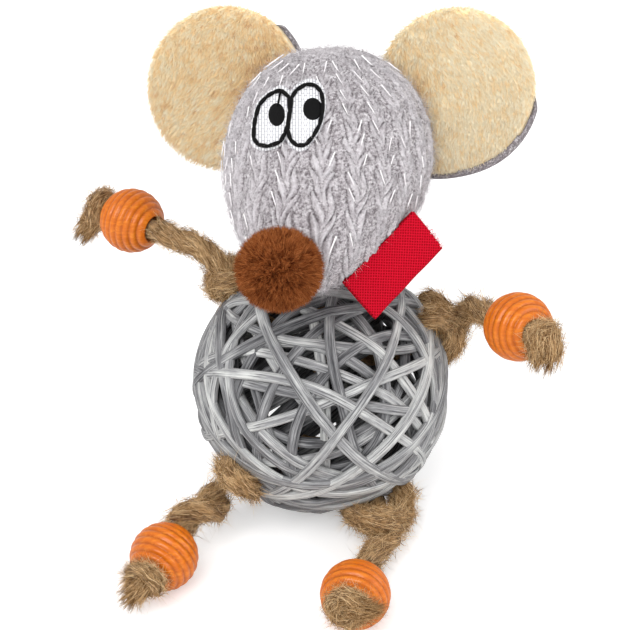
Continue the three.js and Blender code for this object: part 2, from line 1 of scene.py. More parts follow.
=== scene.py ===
# A mouse cat toy: a stuffed knitted head with plush ears and a fur nose on a ball of wound cane, and
# four limbs of jute rope with turned wooden beads. Left and right are the viewer's. Metres, +Z up.
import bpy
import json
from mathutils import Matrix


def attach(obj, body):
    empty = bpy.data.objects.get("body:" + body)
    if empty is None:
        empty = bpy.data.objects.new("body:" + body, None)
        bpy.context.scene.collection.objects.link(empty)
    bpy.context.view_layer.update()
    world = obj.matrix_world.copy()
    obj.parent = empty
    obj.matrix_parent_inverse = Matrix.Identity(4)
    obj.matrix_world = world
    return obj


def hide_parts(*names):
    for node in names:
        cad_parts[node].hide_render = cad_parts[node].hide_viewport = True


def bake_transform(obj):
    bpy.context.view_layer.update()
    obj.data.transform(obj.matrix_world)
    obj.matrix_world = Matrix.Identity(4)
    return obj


bl_info = {
    "name": "Mouse Cat Toy",
    "version": (1, 0, 0),
    "blender": (4, 5, 0),
    "location": "3D View > Sidebar > Cat Toy",
    "description": "Makes a mouse cat toy with a knitted head, a ball of wound cane and rope limbs",
    "category": "Add Mesh",
}

import json
import math

import bmesh
import bpy
import numpy as np
from bpy.props import FloatProperty, FloatVectorProperty, IntProperty, PointerProperty
from mathutils import Matrix, Vector
from numpy.linalg import norm

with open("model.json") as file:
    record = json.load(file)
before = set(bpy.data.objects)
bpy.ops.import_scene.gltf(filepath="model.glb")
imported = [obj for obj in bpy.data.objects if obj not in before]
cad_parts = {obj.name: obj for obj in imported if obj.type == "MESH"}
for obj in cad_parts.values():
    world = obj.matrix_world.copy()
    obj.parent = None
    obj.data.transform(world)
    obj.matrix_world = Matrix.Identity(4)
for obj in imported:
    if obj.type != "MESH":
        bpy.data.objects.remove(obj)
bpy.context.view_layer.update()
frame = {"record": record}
JOINTS = {joint["name"]: joint for joint in frame["record"]["behaviour"]["joints"]}

# The camera, as worked out from the ball and the beads in the photograph
PHOTO_SIZE = 630
VIEW_POINT = np.array((-0.00162, -0.3384, 0.2438))
VIEW_TILT = math.radians(60)
LENS = 99
SENSOR = 36


def rotation(degrees, axis):
    """A turn about an axis."""
    return Matrix.Rotation(math.radians(degrees), 4, axis)


# Where the CAD model puts the ball, the head, the ears and the label
BALL_CENTRE = np.array((0, 0, 0.02974))
HEAD_YAW, HEAD_PITCH, HEAD_ROLL = -11, 14.5, -4.2  # degrees
HEAD_PLACE = (
    Matrix.Translation((0, 0.0028, 0.081233))
    @ rotation(HEAD_YAW, "Z")
    @ rotation(HEAD_PITCH, "X")
    @ rotation(HEAD_ROLL, "Y")
)
KNIT_AXIS = Vector((0, 0.5, 0.866))  # the columns of stitches run down the head from this pole
KNIT_FRONT = Vector((0, -0.866, 0.5))
EAR_MIDDLE = (0.0263, 0.0246, 0.006)  # of the right ear
EAR_TURN, EAR_LEAN = 7, -38  # degrees
LABEL_MIDDLE = Vector((0.0145, -0.0164, -0.0047))
LABEL_EDGE = Vector((0.589, 0.764, 0.263)).normalized()
LABEL_OUT = Vector((0.572, -0.164, -0.804))
HITCHES = {
    "arm_left": (157.4, 44.8),
    "arm_right": (12, 19.4),
    "leg_left": (-143.3, -30),
    "leg_right": (-52, -46),
}
HITCH_REACH = 0.033  # of a hitch's middle from the ball's
BEAD_DISTANCES = {"arm_left": 0.0224, "arm_right": 0.0212, "leg_left": 0.0146, "leg_right": 0.0232}
ARMS_ROPE_MIDDLE = BALL_CENTRE + np.array((0, 0, 0.009))  # where the neck rope holds it
LEGS_ROPE_REACH = 0.014  # of its middle from the ball's
PASSING_RADIUS = 0.0021  # of a rope, between canes
PASSAGE = 0.00042  # air round it

# The four canes of the CAD model: the axis that each winds about, and where it starts, in degrees
CANES = {
    "cane_inner": (-40, -35, 60),
    "cane_third": (140, 45, 330),
    "cane_second": (-100, 50, 300),
    "cane_outer": (-51, 0, None),
}
CANE_RADIUS = 0.0013
CANE_PITCH = 0.00305  # from a layer of cane to the next
CANE_TURNS, CANE_STEPS, CANE_SIDES = 6, 24, 6
CANE_BAND_EDGE = 40  # degrees from its axis to where a cane starts and ends
PARTED_REACH = 2.5  # times the angle that is cleared, where canes swing aside

# Where the photograph has the nose, a little to the left of the CAD model's
NOSE_MIDDLE = Vector((-0.0015, -0.0361, 0.0059))

# Three places that each front strand of cane passes in the photograph, in pixels across and down.
# The strands are listed as they were wound, so a later one lies over an earlier one.
FRONT_STRANDS = (
    (314, 306, 321, 356, 326, 442), (242, 315, 273, 366, 330, 430),
    (231, 318, 240, 372, 262, 434), (339, 353, 376, 373, 420, 432),
    (196, 372, 206, 420, 240, 474), (412, 300, 441, 372, 432, 440),
    (264, 468, 321, 463, 392, 428), (388, 298, 424, 350, 430, 420),
    (203, 330, 199, 372, 214, 436), (438, 330, 447, 388, 424, 452),
    (282, 336, 330, 346, 388, 349), (372, 323, 397, 377, 388, 420),
    (218, 300, 216, 366, 259, 434), (200, 366, 211, 423, 242, 468),
    (219, 354, 321, 366, 414, 415), (205, 373, 310, 396, 421, 413),
    (338, 320, 372, 342, 418, 392), (402, 300, 436, 352, 446, 410),
    (254, 428, 310, 411, 364, 390), (226, 298, 222, 350, 232, 424),
    (230, 382, 248, 434, 297, 477), (331, 296, 336, 373, 350, 434),
    (420, 322, 437, 384, 408, 462), (369, 416, 403, 437, 421, 465),
    (242, 347, 297, 323, 369, 304), (250, 470, 310, 490, 372, 478),
    (429, 366, 404, 425, 330, 486), (212, 400, 246, 456, 300, 488),
    (262, 308, 283, 360, 341, 442), (444, 356, 438, 408, 360, 478),
    (402, 296, 376, 380, 276, 492), (247, 478, 310, 507, 400, 478),
)

# Outlines of the two embroidered eyes and the middles of their pupils in the photograph, in pixels
EYE_OUTLINES = {
    "eye_left": (
        (281, 90), (289, 97), (290, 113), (287.5, 125), (285, 133), (280, 142), (268, 146.3),
        (258, 144.7), (253.4, 138), (253.9, 126.6), (255.5, 117), (259, 105), (266, 97), (274, 92),
    ),
    "eye_right": (
        (306, 84), (315, 85), (321, 91.4), (323.2, 102), (322, 115), (319.4, 125), (313, 136.5),
        (305.5, 145), (297, 145.5), (290.5, 140), (287.6, 130), (288.4, 118.5), (290.6, 108.6),
        (291.5, 97.5), (296.5, 89.8),
    ),
}
EYE_PUPILS = {"eye_left": (276.6, 114.6, 9.0, 12.6), "eye_right": (312.6, 108.9, 10.4, 12.2)}


def paint(red, green, blue):
    """A colour as it looks on screen, 0 to 255, as the light values that Blender uses."""
    shares = np.array((red, green, blue)) / 255
    return tuple(np.where(shares <= 0.04045, shares / 12.92, ((shares + 0.055) / 1.055) ** 2.4))


def metres(name, description, default):
    return FloatProperty(
        name=name, description=description, default=default, min=0, unit="LENGTH", precision=5
    )


def watts(name, description, default):
    return FloatProperty(name=name, description=description, default=default, unit="POWER")


def number(name, description, default):
    return IntProperty(name=name, description=description, default=default, min=1)


def colour_of(name, description, *tone):
    return FloatVectorProperty(
        name=name, description=description, default=paint(*tone), size=3, min=0, max=1, subtype="COLOR"
    )


class BallSettings(bpy.types.PropertyGroup):
    radius: metres("Radius", "Of the ball, out to its highest strands", 0.030)
    strand_width: metres("Strand width", "Of a strand of cane, along the ball", 0.0024)
    strand_thickness: metres("Strand thickness", "Of a strand of cane, out from the ball", 0.0018)
    pale: colour_of("Pale", "Of the wash on the cane", 204, 205, 203)
    middle: colour_of("Middle", "Of most of the cane", 136, 136, 138)
    dark: colour_of("Dark", "Of the grain of the cane", 56, 56, 59)


class RopeSettings(bpy.types.PropertyGroup):
    radius: metres("Radius", "Of a limb's rope", 0.0027)
    pitch: metres("Pitch", "Of the rope's twist", 0.021)
    hair: metres("Hair", "Length of the longest hairs that stand off the rope", 0.0042)
    light: colour_of("Light", "Of the palest fibres", 244, 214, 168)
    middle: colour_of("Middle", "Of most fibres", 202, 162, 112)
    dark: colour_of("Dark", "Between the strands", 98, 66, 34)


class BeadSettings(bpy.types.PropertyGroup):
    radius: metres("Radius", "Of a bead", 0.0076)
    bore: metres("Bore", "Radius of the hole", 0.0030)
    rings: number("Rings", "Turned round the bead", 9)
    groove: metres("Groove", "Depth of the turned grooves", 0.00042)
    stain: colour_of("Stain", "Of the wood", 208, 107, 12)
    # Painted shade in the turned grooves and inside the bore; also the colour of the dark pores
    shadow: colour_of("Shadow", "Of the stain that settled in the grooves", 112, 42, 4)


class HeadSettings(bpy.types.PropertyGroup):
    half_length: metres("Half length", "Of the egg, from its middle to the nose", 0.0319)
    half_width: metres("Half width", "Of the egg", 0.0220)
    taper: FloatProperty(name="Taper", description="How much narrower the nose end is", default=0.29)
    wales: number("Wales", "Columns of stitches round the head", 19)
    courses: number("Courses", "Stitches from the top of the head to the underside", 18)
    relief: metres("Relief", "Height of a stitch", 0.0011)
    yarn: colour_of("Yarn", "Of the knitting", 206, 200, 204)
    # Painted shade, down in the gaps between the stitches
    gap: colour_of("Gap", "Between the stitches", 112, 103, 107)
    thread: colour_of("Thread", "Of the pale thread knitted in with the yarn", 242, 238, 240)


class EyeSettings(bpy.types.PropertyGroup):
    line: metres("Line", "Radius of the black outline", 0.00044)
    rim: metres("Rim", "Width of the white backing that shows round the outline", 0.0007)
    white: colour_of("White", "Of the white thread", 252, 252, 253)
    black: colour_of("Black", "Of the black thread", 9, 8, 9)


class NoseSettings(bpy.types.PropertyGroup):
    radius: metres("Radius", "Of the nose, out to the tips of its fur", 0.0092)
    fur: metres("Fur", "Length of the fur", 0.0027)
    light: colour_of("Light", "Of the tips of the fur", 198, 124, 72)
    middle: colour_of("Middle", "Of most of the fur", 150, 82, 38)
    # Also the backing's colour, painted shade seen between the tufts
    dark: colour_of("Dark", "Deep in the fur", 78, 30, 4)


class EarSettings(bpy.types.PropertyGroup):
    radius: metres("Radius", "Of an ear", 0.0190)
    thickness: metres("Thickness", "Of an ear at its middle", 0.0090)
    pile: metres("Pile", "Length of the plush", 0.0019)
    light: colour_of("Light", "Of the tips of the plush", 255, 244, 216)
    middle: colour_of("Middle", "Of the plush", 255, 224, 168)
    # Reached beside the head, where the plush is pressed and has painted shade
    dark: colour_of("Dark", "Deep in the plush", 214, 166, 124)


class LabelSettings(bpy.types.PropertyGroup):
    width: metres("Width", "Of the ribbon, along the sewn edge", 0.0218)
    reach: metres("Reach", "Of the folded ribbon, out from the sewn edge", 0.0106)
    thickness: metres("Thickness", "Of the ribbon", 0.00035)
    red: colour_of("Red", "Of the ribbon", 188, 2, 28)
    deep: colour_of("Deep red", "Between the threads of the ribbon", 140, 0, 10)


class StageSettings(bpy.types.PropertyGroup):
    key: watts("Key lamp", "Power of the main lamp", 5.5)
    side: watts("Side lamp", "Power of the lamp on the right", 1.8)
    small: watts("Small lamp", "Power of the lamp for highlights", 0.9)
    sky: FloatProperty(name="Sky", description="Strength of the light from all round", default=0.8)
    floor: colour_of("Floor", "Of the floor", 242, 242, 242)


# Shapes

FULL_TURN = 2 * math.pi
TINY = 1e-12  # instead of a length that is divided by
CURVE_STEPS = 24  # of a curve between marks
LEAST_STEPS = 4
FIRST_SIDE = np.array((0.31, 0.52, 0.79))  # no path starts along this
MERGE_DISTANCE = 1e-7


def unit(vectors):
    """Vectors of length one."""
    return vectors / np.maximum(norm(vectors, axis=-1, keepdims=True), TINY)


def aim(azimuth, elevation):
    """A direction from its angle round +Z and its angle up from the floor, in degrees."""
    around, rise = math.radians(azimuth), math.radians(elevation)
    return np.array((math.cos(rise) * math.cos(around), math.cos(rise) * math.sin(around), math.sin(rise)))


def round_about(angle, first, second):
    """Directions at an angle from the first of two square directions towards the second."""
    return np.cos(angle)[:, None] * first + np.sin(angle)[:, None] * second


def moved(points, place):
    """Points moved by a matrix."""
    table = np.array(place)
    return points @ table[:3, :3].T + table[:3, 3]


def turned(ways, place):
    """Directions turned by a matrix."""
    return ways @ np.array(place.to_3x3()).T


def square_to(ways, outs):
    """Directions without what runs along others."""
    return ways - outs * np.sum(ways * outs, axis=1, keepdims=True)


def sights(marks):
    """Directions from the camera through marks in the photograph."""
    marks = np.atleast_2d(np.asarray(marks, float))
    depth = np.full(len(marks), LENS / SENSOR * PHOTO_SIZE)
    seen = np.stack((marks[:, 0] - PHOTO_SIZE / 2, PHOTO_SIZE / 2 - marks[:, 1], -depth), axis=1)
    return unit(turned(seen, Matrix.Rotation(VIEW_TILT, 4, "X")))


def on_ball(marks, radius):
    """The points where the lines of sight through marks meet a ball round the toy's middle."""
    ways = sights(marks)
    back = VIEW_POINT - BALL_CENTRE
    half = ways @ back
    inside = np.maximum(half**2 - (back @ back - radius**2), 0)
    points = VIEW_POINT + ways * (-half - np.sqrt(inside))[:, None]
    return BALL_CENTRE + unit(points - BALL_CENTRE) * radius


def run_of(path):
    """How far along a path each of its points is."""
    return np.concatenate(([0], np.cumsum(norm(np.diff(path, axis=0), axis=1))))


def smooth_path(marks, spacing, closed=False):
    """Points an even way apart on a smooth curve through the marks."""
    marks = np.asarray(marks, float)
    if closed:
        around = np.vstack((marks[-1], marks, marks[:2]))
    else:
        around = np.vstack((2 * marks[0] - marks[1], marks, 2 * marks[-1] - marks[-2]))
    share = np.linspace(0, 1, CURVE_STEPS, endpoint=False)[:, None]
    curve = []
    for before, first, second, after in zip(around, around[1:], around[2:], around[3:]):
        curve.append(
            first
            + share / 2 * (second - before)
            + share**2 / 2 * (2 * before - 5 * first + 4 * second - after)
            + share**3 / 2 * (3 * first - before - 3 * second + after)
        )
    curve = np.vstack((*curve, marks[:1] if closed else marks[-1:]))
    run = run_of(curve)
    steps = max(int(round(run[-1] / spacing)), LEAST_STEPS)
    wanted = np.linspace(0, run[-1], steps + 1)
    return np.stack([np.interp(wanted, run, curve[:, k]) for k in range(curve.shape[1])], axis=1)


def carried_frames(path):
    """Directions along a path, and two square to it that turn as little as they can."""
    along = unit(np.gradient(path, axis=0))
    side = np.empty_like(path)
    side[0] = unit(FIRST_SIDE - along[0] * (FIRST_SIDE @ along[0]))
    for i in range(1, len(path)):
        side[i] = unit(side[i - 1] - along[i] * (side[i - 1] @ along[i]))
    return along, side, np.cross(along, side)


def mesh_of(form, name):
    """The mesh that a bmesh makes."""
    mesh = bpy.data.meshes.new(name)
    form.to_mesh(mesh)
    form.free()
    return mesh


def points_of(mesh):
    flat = np.empty(len(mesh.vertices) * 3)
    mesh.vertices.foreach_get("co", flat)
    return flat.reshape(-1, 3)


def uvs_of(mesh):
    flat = np.empty(len(mesh.loops) * 2)
    mesh.uv_layers[0].data.foreach_get("uv", flat)
    return flat.reshape(-1, 2)


def set_uvs(mesh, uvs):
    mesh.uv_layers[0].data.foreach_set("uv", uvs.ravel())


def mark_points(mesh, **layers):
    """Gives each point of a mesh a value of each name."""
    for name, values in layers.items():
        mesh.attributes.new(name, "FLOAT", "POINT").data.foreach_set("value", values.astype(np.float32))


def placed(name, data):
    """A new object in the scene."""
    thing = bpy.data.objects.new(name, data)
    bpy.context.scene.collection.objects.link(thing)
    return thing


def bent_grid(name, columns, rows, place, uv_size=(1, 1), merge=True, attributes=None):
    """A grid bent into shape: place gives the points of two arrays of shares, from 0 to 1."""
    form = bmesh.new()
    form.loops.layers.uv.new("UVMap")
    bmesh.ops.create_grid(form, x_segments=columns, y_segments=rows, size=0.5, calc_uvs=True)
    mesh = mesh_of(form, name)
    across, along = points_of(mesh)[:, 0] + 0.5, points_of(mesh)[:, 1] + 0.5
    mesh.vertices.foreach_set("co", place(across, along).ravel())
    corners = np.empty(len(mesh.loops), int)
    mesh.loops.foreach_get("vertex_index", corners)
    set_uvs(mesh, np.stack((across[corners] * uv_size[0], along[corners] * uv_size[1]), axis=1))
    if attributes:
        mark_points(mesh, **attributes(across, along))
    return closed_mesh(mesh) if merge else mesh


def closed_mesh(mesh):
    """Joins a mesh's seams and poles and points its faces outwards."""
    form = bmesh.new()
    form.from_mesh(mesh)
    bmesh.ops.remove_doubles(form, verts=form.verts, dist=MERGE_DISTANCE)
    bmesh.ops.dissolve_degenerate(form, edges=form.edges, dist=MERGE_DISTANCE / 10)
    bmesh.ops.recalc_face_normals(form, faces=form.faces)
    form.to_mesh(mesh)
    form.free()
    return mesh


def joined(name, meshes):
    """One mesh of several."""
    form = bmesh.new()
    for mesh in meshes:
        form.from_mesh(mesh)
    whole = mesh_of(form, name)
    for mesh in meshes:
        bpy.data.meshes.remove(mesh)
    return whole


class Skin:
    """Where hairs can grow: points, the ways out and the ways along."""

    def __init__(self, points, outs, ways):
        self.points, self.outs, self.ways = points, outs, ways

    @staticmethod
    def of(skins):
        return Skin(*(np.vstack([getattr(s, part) for s in skins]) for part in ("points", "outs", "ways")))

    def pick(self, where):
        return Skin(self.points[where], self.outs[where], self.ways[where])


def tube(name, path, widths, sides, frames=None, section=None, tint=None):
    """A tube along a path, closed where its widths are nothing, and its skin."""
    along, side, out = frames or carried_frames(path)
    run = run_of(path)
    widths = np.broadcast_to(widths, len(path))

    def place(turn, share):
        station = np.rint(share * (len(path) - 1)).astype(int)
        angle = FULL_TURN * turn
        across, height = (np.cos(angle), np.sin(angle)) if section is None else section(angle)
        spread = widths[station][:, None]
        return path[station] + spread * (across[:, None] * side[station] + height[:, None] * out[station])

    girth = FULL_TURN * float(np.median(widths))
    mesh = bent_grid(name, sides, len(path) - 1, place, (girth, run[-1]))
    # A value for each strand: its random tone, or painted shade for the canes under the loops
    if tint is not None:
        mark_points(mesh, tint=np.full(len(mesh.vertices), tint))
    angles = np.linspace(0, FULL_TURN, sides, endpoint=False)[None, :, None]
    outs = np.cos(angles) * side[:, None] + np.sin(angles) * out[:, None]
    points = path[:, None] + widths[:, None, None] * outs
    ways = np.broadcast_to(along[:, None], outs.shape)
    return mesh, Skin(points.reshape(-1, 3), outs.reshape(-1, 3), ways.reshape(-1, 3))


PLIES = 3
PLY_SIDES = 12
PLY_SHARE = 0.53  # of the rope's radius
PLY_END = (0, 0.6, 0.88)  # its width at its ends, as shares
# Waves in a ply's way and width: their height as a share, their length and their shift
PLY_WANDER = ((0.06, 0.0043, 2.1), (0.04, 0.0019, 5))
PLY_SWELL = ((0.07, 0.0027, 3),)


def plied_rope(name, path, radius, pitch, widths=1):
    """Three plies twisted together along a path, and their skin."""
    _, side, out = carried_frames(path)
    run = run_of(path)
    full = widths * np.ones(len(path))
    rounding = np.ones(len(path))
    rounding[: len(PLY_END)], rounding[-len(PLY_END) :] = PLY_END, PLY_END[::-1]

    def uneven(ply, waves):
        return 1 + sum(share * np.sin(run / length + shift * ply) for share, length, shift in waves)

    meshes, skins = [], []
    for ply in range(PLIES):
        phase = FULL_TURN * (run / pitch + ply / PLIES)
        offset = (radius * (1 - PLY_SHARE) * full * uneven(ply, PLY_WANDER))[:, None]
        centre = path + offset * round_about(phase, side, out)
        thick = radius * PLY_SHARE * full * uneven(ply, PLY_SWELL)
        mesh, skin = tube(name, centre, thick * rounding, PLY_SIDES)
        meshes.append(mesh)
        skins.append(skin)
    return meshes, Skin.of(skins)


def hair_shape(name, slimness, bend, sides=3, steps=2, tip=0.25):
    """A tapered hair one unit long that stands along Z and bends towards X."""
    form = bmesh.new()
    bmesh.ops.create_circle(form, segments=sides, radius=slimness / 2, cap_ends=False)
    edges = list(form.edges)
    for step in range(1, steps + 1):
        before, share = (step - 1) / steps, step / steps
        grown = bmesh.ops.extrude_edge_only(form, edges=edges)["geom"]
        ring = [part for part in grown if isinstance(part, bmesh.types.BMVert)]
        edges = [part for part in grown if isinstance(part, bmesh.types.BMEdge)]
        middle = sum((v.co for v in ring), Vector()) / sides
        thin = (1 - (1 - tip) * share) / (1 - (1 - tip) * before)
        bmesh.ops.scale(form, verts=ring, vec=(thin, thin, 1), space=Matrix.Translation(-middle))
        bmesh.ops.translate(form, verts=ring, vec=(bend * (share**2 - before**2), 0, 1 / steps))
    middle = sum((v.co for v in ring), Vector()) / sides
    bmesh.ops.pointmerge(form, verts=ring, merge_co=middle)
    bmesh.ops.recalc_face_normals(form, faces=form.faces)
    for face in form.faces:
        face.smooth = True
    return placed(name, mesh_of(form, name))


def turns_of(aims, leans):
    """Euler angles that stand a shape's Z along each aim, with its X towards each lean."""
    up = unit(aims)
    ahead = unit(square_to(leans, up))
    side = np.cross(up, ahead)
    roll = np.arctan2(side[:, 2], up[:, 2])
    tilt = -np.arcsin(np.clip(ahead[:, 2], -1, 1))
    return np.stack((roll, tilt, np.arctan2(ahead[:, 1], ahead[:, 0])), axis=1)


def planting_tree(shape):
    """Geometry nodes that put a copy of a shape on each point."""
    tree = bpy.data.node_groups.new("planting", "GeometryNodeTree")
    for way in ("INPUT", "OUTPUT"):
        tree.interface.new_socket("Geometry", in_out=way, socket_type="NodeSocketGeometry")
    start, end = tree.nodes.new("NodeGroupInput"), tree.nodes.new("NodeGroupOutput")
    source = tree.nodes.new("GeometryNodeObjectInfo")
    source.inputs["Object"].default_value = shape
    instance = tree.nodes.new("GeometryNodeInstanceOnPoints")
    realise = tree.nodes.new("GeometryNodeRealizeInstances")
    tree.links.new(start.outputs[0], instance.inputs["Points"])
    tree.links.new(source.outputs["Geometry"], instance.inputs["Instance"])
    for key, kind, socket in (("turn", "FLOAT_VECTOR", "Rotation"), ("size", "FLOAT", "Scale")):
        value = tree.nodes.new("GeometryNodeInputNamedAttribute")
        value.data_type = kind
        value.inputs["Name"].default_value = key
        tree.links.new(value.outputs["Attribute"], instance.inputs[socket])
    tree.links.new(instance.outputs[0], realise.inputs[0])
    tree.links.new(realise.outputs[0], end.inputs[0])
    return tree


def planted(name, look, points, aims, leans, sizes, shades):
    """A mesh of many hairs of one look, each with its own place, way, size and shade."""
    shape = hair_shape(name, **look)
    seeds = bpy.data.meshes.new(name + "_seeds")
    seeds.vertices.add(len(points))
    seeds.vertices.foreach_set("co", np.asarray(points, np.float32).ravel())
    turns = seeds.attributes.new("turn", "FLOAT_VECTOR", "POINT")
    turns.data.foreach_set("vector", turns_of(aims, leans).astype(np.float32).ravel())
    mark_points(seeds, size=sizes, shade=shades)
    holder = placed(name + "_seeds", seeds)
    tree = planting_tree(shape)
    holder.modifiers.new("planting", "NODES").node_group = tree
    graph = bpy.context.evaluated_depsgraph_get()
    mesh = bpy.data.meshes.new_from_object(holder.evaluated_get(graph))
    mesh.name = name
    bpy.data.objects.remove(holder)
    bpy.data.meshes.remove(seeds)
    bpy.data.node_groups.remove(tree)
    bpy.data.objects.remove(shape)
    return mesh


def finished(name, mesh, material, body=None, nodes=(), fill=None, smooth=True):
    """A piece with its finish, the body that it rides on and the nodes it stands for."""
    mesh.name = name
    mesh.materials.clear()
    mesh.materials.append(material)
    mesh.polygons.foreach_set("use_smooth", np.full(len(mesh.polygons), smooth))
    piece = placed(name, mesh)
    if body:
        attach(piece, body)
    if nodes:
        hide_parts(*nodes)
    return piece


# Finishes


def opaque(colour):
    """A colour, or a shade of grey, with nothing let through."""
    return (*colour, 1) if hasattr(colour, "__len__") else (colour, colour, colour, 1)


class Finish:
    """A material under construction, with short calls for its nodes."""

    def __init__(self, name, roughness=0.8, shine=0.5, **sockets):
        self.material = bpy.data.materials.new(name)
        self.material.use_nodes = True
        self.tree = self.material.node_tree
        self.shader = self.tree.nodes["Principled BSDF"]
        self.shader.inputs["Roughness"].default_value = roughness
        self.shader.inputs["Specular IOR Level"].default_value = shine
        for key, value in sockets.items():
            self.shader.inputs[key.replace("_", " ").title()].default_value = value

    def add(self, kind, links=(), **values):
        node = self.tree.nodes.new("ShaderNode" + kind)
        for key, value in values.items():
            setattr(node, key, value)
        for socket, source in dict(links).items():
            if hasattr(source, "is_output"):
                self.tree.links.new(source, node.inputs[socket])
            else:
                node.inputs[socket].default_value = source
        return node

    def coordinates(self, scale, source="UV", turn=0, move=(0, 0, 0)):
        place = self.add("TexCoord").outputs[source]
        links = {"Vector": place, "Scale": scale, "Rotation": (0, 0, turn), "Location": move}
        return self.add("Mapping", links).outputs[0]

    def attribute(self, name):
        return self.add("Attribute", attribute_name=name).outputs["Fac"]

    def noise(self, scale, detail=4, roughness=0.6, distortion=0.0, **place):
        """Noise with so many waves a metre along each axis."""
        links = {"Vector": self.coordinates(scale, **place), "Scale": 1, "Detail": detail}
        links.update({"Roughness": roughness, "Distortion": distortion})
        return self.add("TexNoise", links).outputs["Fac"]

    def even_noise(self, scale, **choices):
        """Noise through the piece, the same along every axis."""
        return self.noise((scale, scale, scale), source="Object", **choices)

    def ramp(self, value, *stops):
        node = self.add("ValToRGB", {"Fac": value})
        elements = node.color_ramp.elements
        for i, (place, colour) in enumerate(stops):
            element = elements[i] if i < 2 else elements.new(place)
            element.position = place
            element.color = opaque(colour)
        return node.outputs["Color"]

    def mix(self, factor, source, colour):
        links = {0: factor, 6: source, 7: opaque(colour)}
        return self.add("Mix", links, data_type="RGBA").outputs[2]

    def combine(self, first, second, operation="ADD"):
        return self.add("Math", {0: first, 1: second}, operation=operation).outputs[0]

    def times(self, value, share):
        return self.combine(value, share, "MULTIPLY")

    def round_nothing(self, value, share):
        """A share of a value from 0 to 1, moved down so that it lies round nothing."""
        return self.times(self.combine(value, 0.5, "SUBTRACT"), share)

    def bump(self, height, distance, strength=1.0):
        node = self.add("Bump", {"Height": height, "Distance": distance, "Strength": strength})
        self.tree.links.new(node.outputs[0], self.shader.inputs["Normal"])

    def colour(self, source):
        self.tree.links.new(source, self.shader.inputs["Base Color"])
        return self.material


def cane_finish(settings):
    """Cane with a worn grey wash: long grain, paler ridges and some strands paler than others, and painted
    shade that darkens the canes under the outer loops.
    """
    finish = Finish("grey_cane", roughness=0.66, shine=0.4)
    grain = finish.noise((3000, 60, 1), detail=6, roughness=0.7)
    cracks = finish.noise((5200, 130, 1), detail=3, roughness=0.6, move=(5, 2, 0))
    patches = finish.noise((380, 90, 1), detail=3, move=(3, 7, 0))
    shade = finish.combine(grain, finish.round_nothing(patches, 0.55))
    # Painted shade: the canes under the loops carry low values, and the loops differ in tone at random
    tint = finish.attribute("tint")
    shade = finish.combine(shade, finish.round_nothing(tint, 0.2))
    stops = ((0.27, settings.dark), (0.46, settings.middle), (0.66, settings.pale))
    wash = finish.ramp(shade, *stops, (0.86, paint(228, 228, 220)))
    lines = finish.ramp(cracks, (0.36, 0.75), (0.44, 0.0))
    finish.bump(finish.combine(grain, cracks), distance=0.00022, strength=0.8)
    return finish.colour(finish.mix(lines, wash, paint(58, 58, 61)))


def jute_finish(settings):
    """Jute: fibres that run round the rope's twist, darker between them."""
    finish = Finish("jute", roughness=0.92, shine=0.2, sheen_weight=0.12)
    fibres = finish.noise((5200, 260, 1), detail=6, roughness=0.75, distortion=0.5, turn=0.3)
    patches = finish.even_noise(420, detail=2)
    shade = finish.combine(fibres, finish.round_nothing(patches, 0.5))
    colour = finish.ramp(shade, *zip((0.38, 0.58, 0.84), shades_of(settings)))
    finish.bump(fibres, distance=0.0008)
    return finish.colour(colour)


def shades_of(settings):
    return settings.dark, settings.middle, settings.light


def hair_finish(name, shades, roughness=0.85, **sockets):
    """Hairs of one kind, from the darkest to the lightest of three shades."""
    finish = Finish(name, roughness=roughness, **sockets)
    blotch = finish.even_noise(900, detail=2)
    shade = finish.combine(finish.attribute("shade"), finish.round_nothing(blotch, 0.25))
    return finish.colour(finish.ramp(shade, *zip((0.05, 0.5, 0.95), shades)))


def wood_finish(settings):
    """Stained wood under varnish, with painted shade in the turned grooves and inside the bore, and darker in
    its pores.
    """
    coat = {"coat_weight": 0.3, "coat_roughness": 0.12}
    finish = Finish("orange_wood", roughness=0.4, shine=0.25, **coat)
    grain = finish.noise((260, 1300, 1300), detail=5, distortion=0.3, source="Object")
    pores = finish.noise((1600, 5200, 5200), detail=2, source="Object")
    shade = finish.ramp(grain, (0.25, paint(192, 92, 8)), (0.5, settings.stain), (0.78, paint(230, 138, 36)))
    groove = finish.attribute("groove")
    # Painted shade in the grooves and the bore, broken up by the pores
    depth = finish.times(groove, finish.ramp(pores, (0.4, 0.35), (0.62, 1.0)))
    speck = finish.ramp(pores, (0.24, 0.5), (0.33, 0.0))
    colour = finish.mix(finish.times(depth, 0.6), shade, settings.shadow)
    finish.bump(finish.combine(grain, pores), distance=0.00005, strength=0.5)
    return finish.colour(finish.mix(finish.times(speck, 0.35), colour, settings.shadow))


def knit_finish(settings):
    """Mixed grey wool yarn, with painted shade down in the gaps between stitches and a painted highlight on
    the raised legs of the stitches.
    """
    sheen = {"sheen_weight": 0.2, "sheen_roughness": 0.6}
    finish = Finish("grey_knit", roughness=0.95, shine=0.15, **sheen)
    fibres = finish.even_noise(1900, detail=6, roughness=0.8)
    clouds = finish.even_noise(520, detail=3)
    shade = finish.combine(fibres, finish.round_nothing(clouds, 0.5))
    dark, light = paint(156, 148, 152), paint(240, 236, 239)
    yarn = finish.ramp(shade, (0.32, dark), (0.5, settings.yarn), (0.66, light))
    # Painted shade: the gaps between the stitches are darkened towards the gap colour
    low = finish.combine(finish.attribute("relief"), finish.round_nothing(fibres, 1.3))
    depth = finish.ramp(low, (0.1, 0.95), (0.4, 0.0))
    # Painted highlight on the raised legs of the stitches
    high = finish.ramp(finish.attribute("relief"), (0.6, 0.0), (0.9, 0.5))
    yarn = finish.mix(high, yarn, paint(238, 234, 238))
    finish.bump(fibres, distance=0.0006, strength=0.9)
    return finish.colour(finish.mix(depth, yarn, settings.gap))


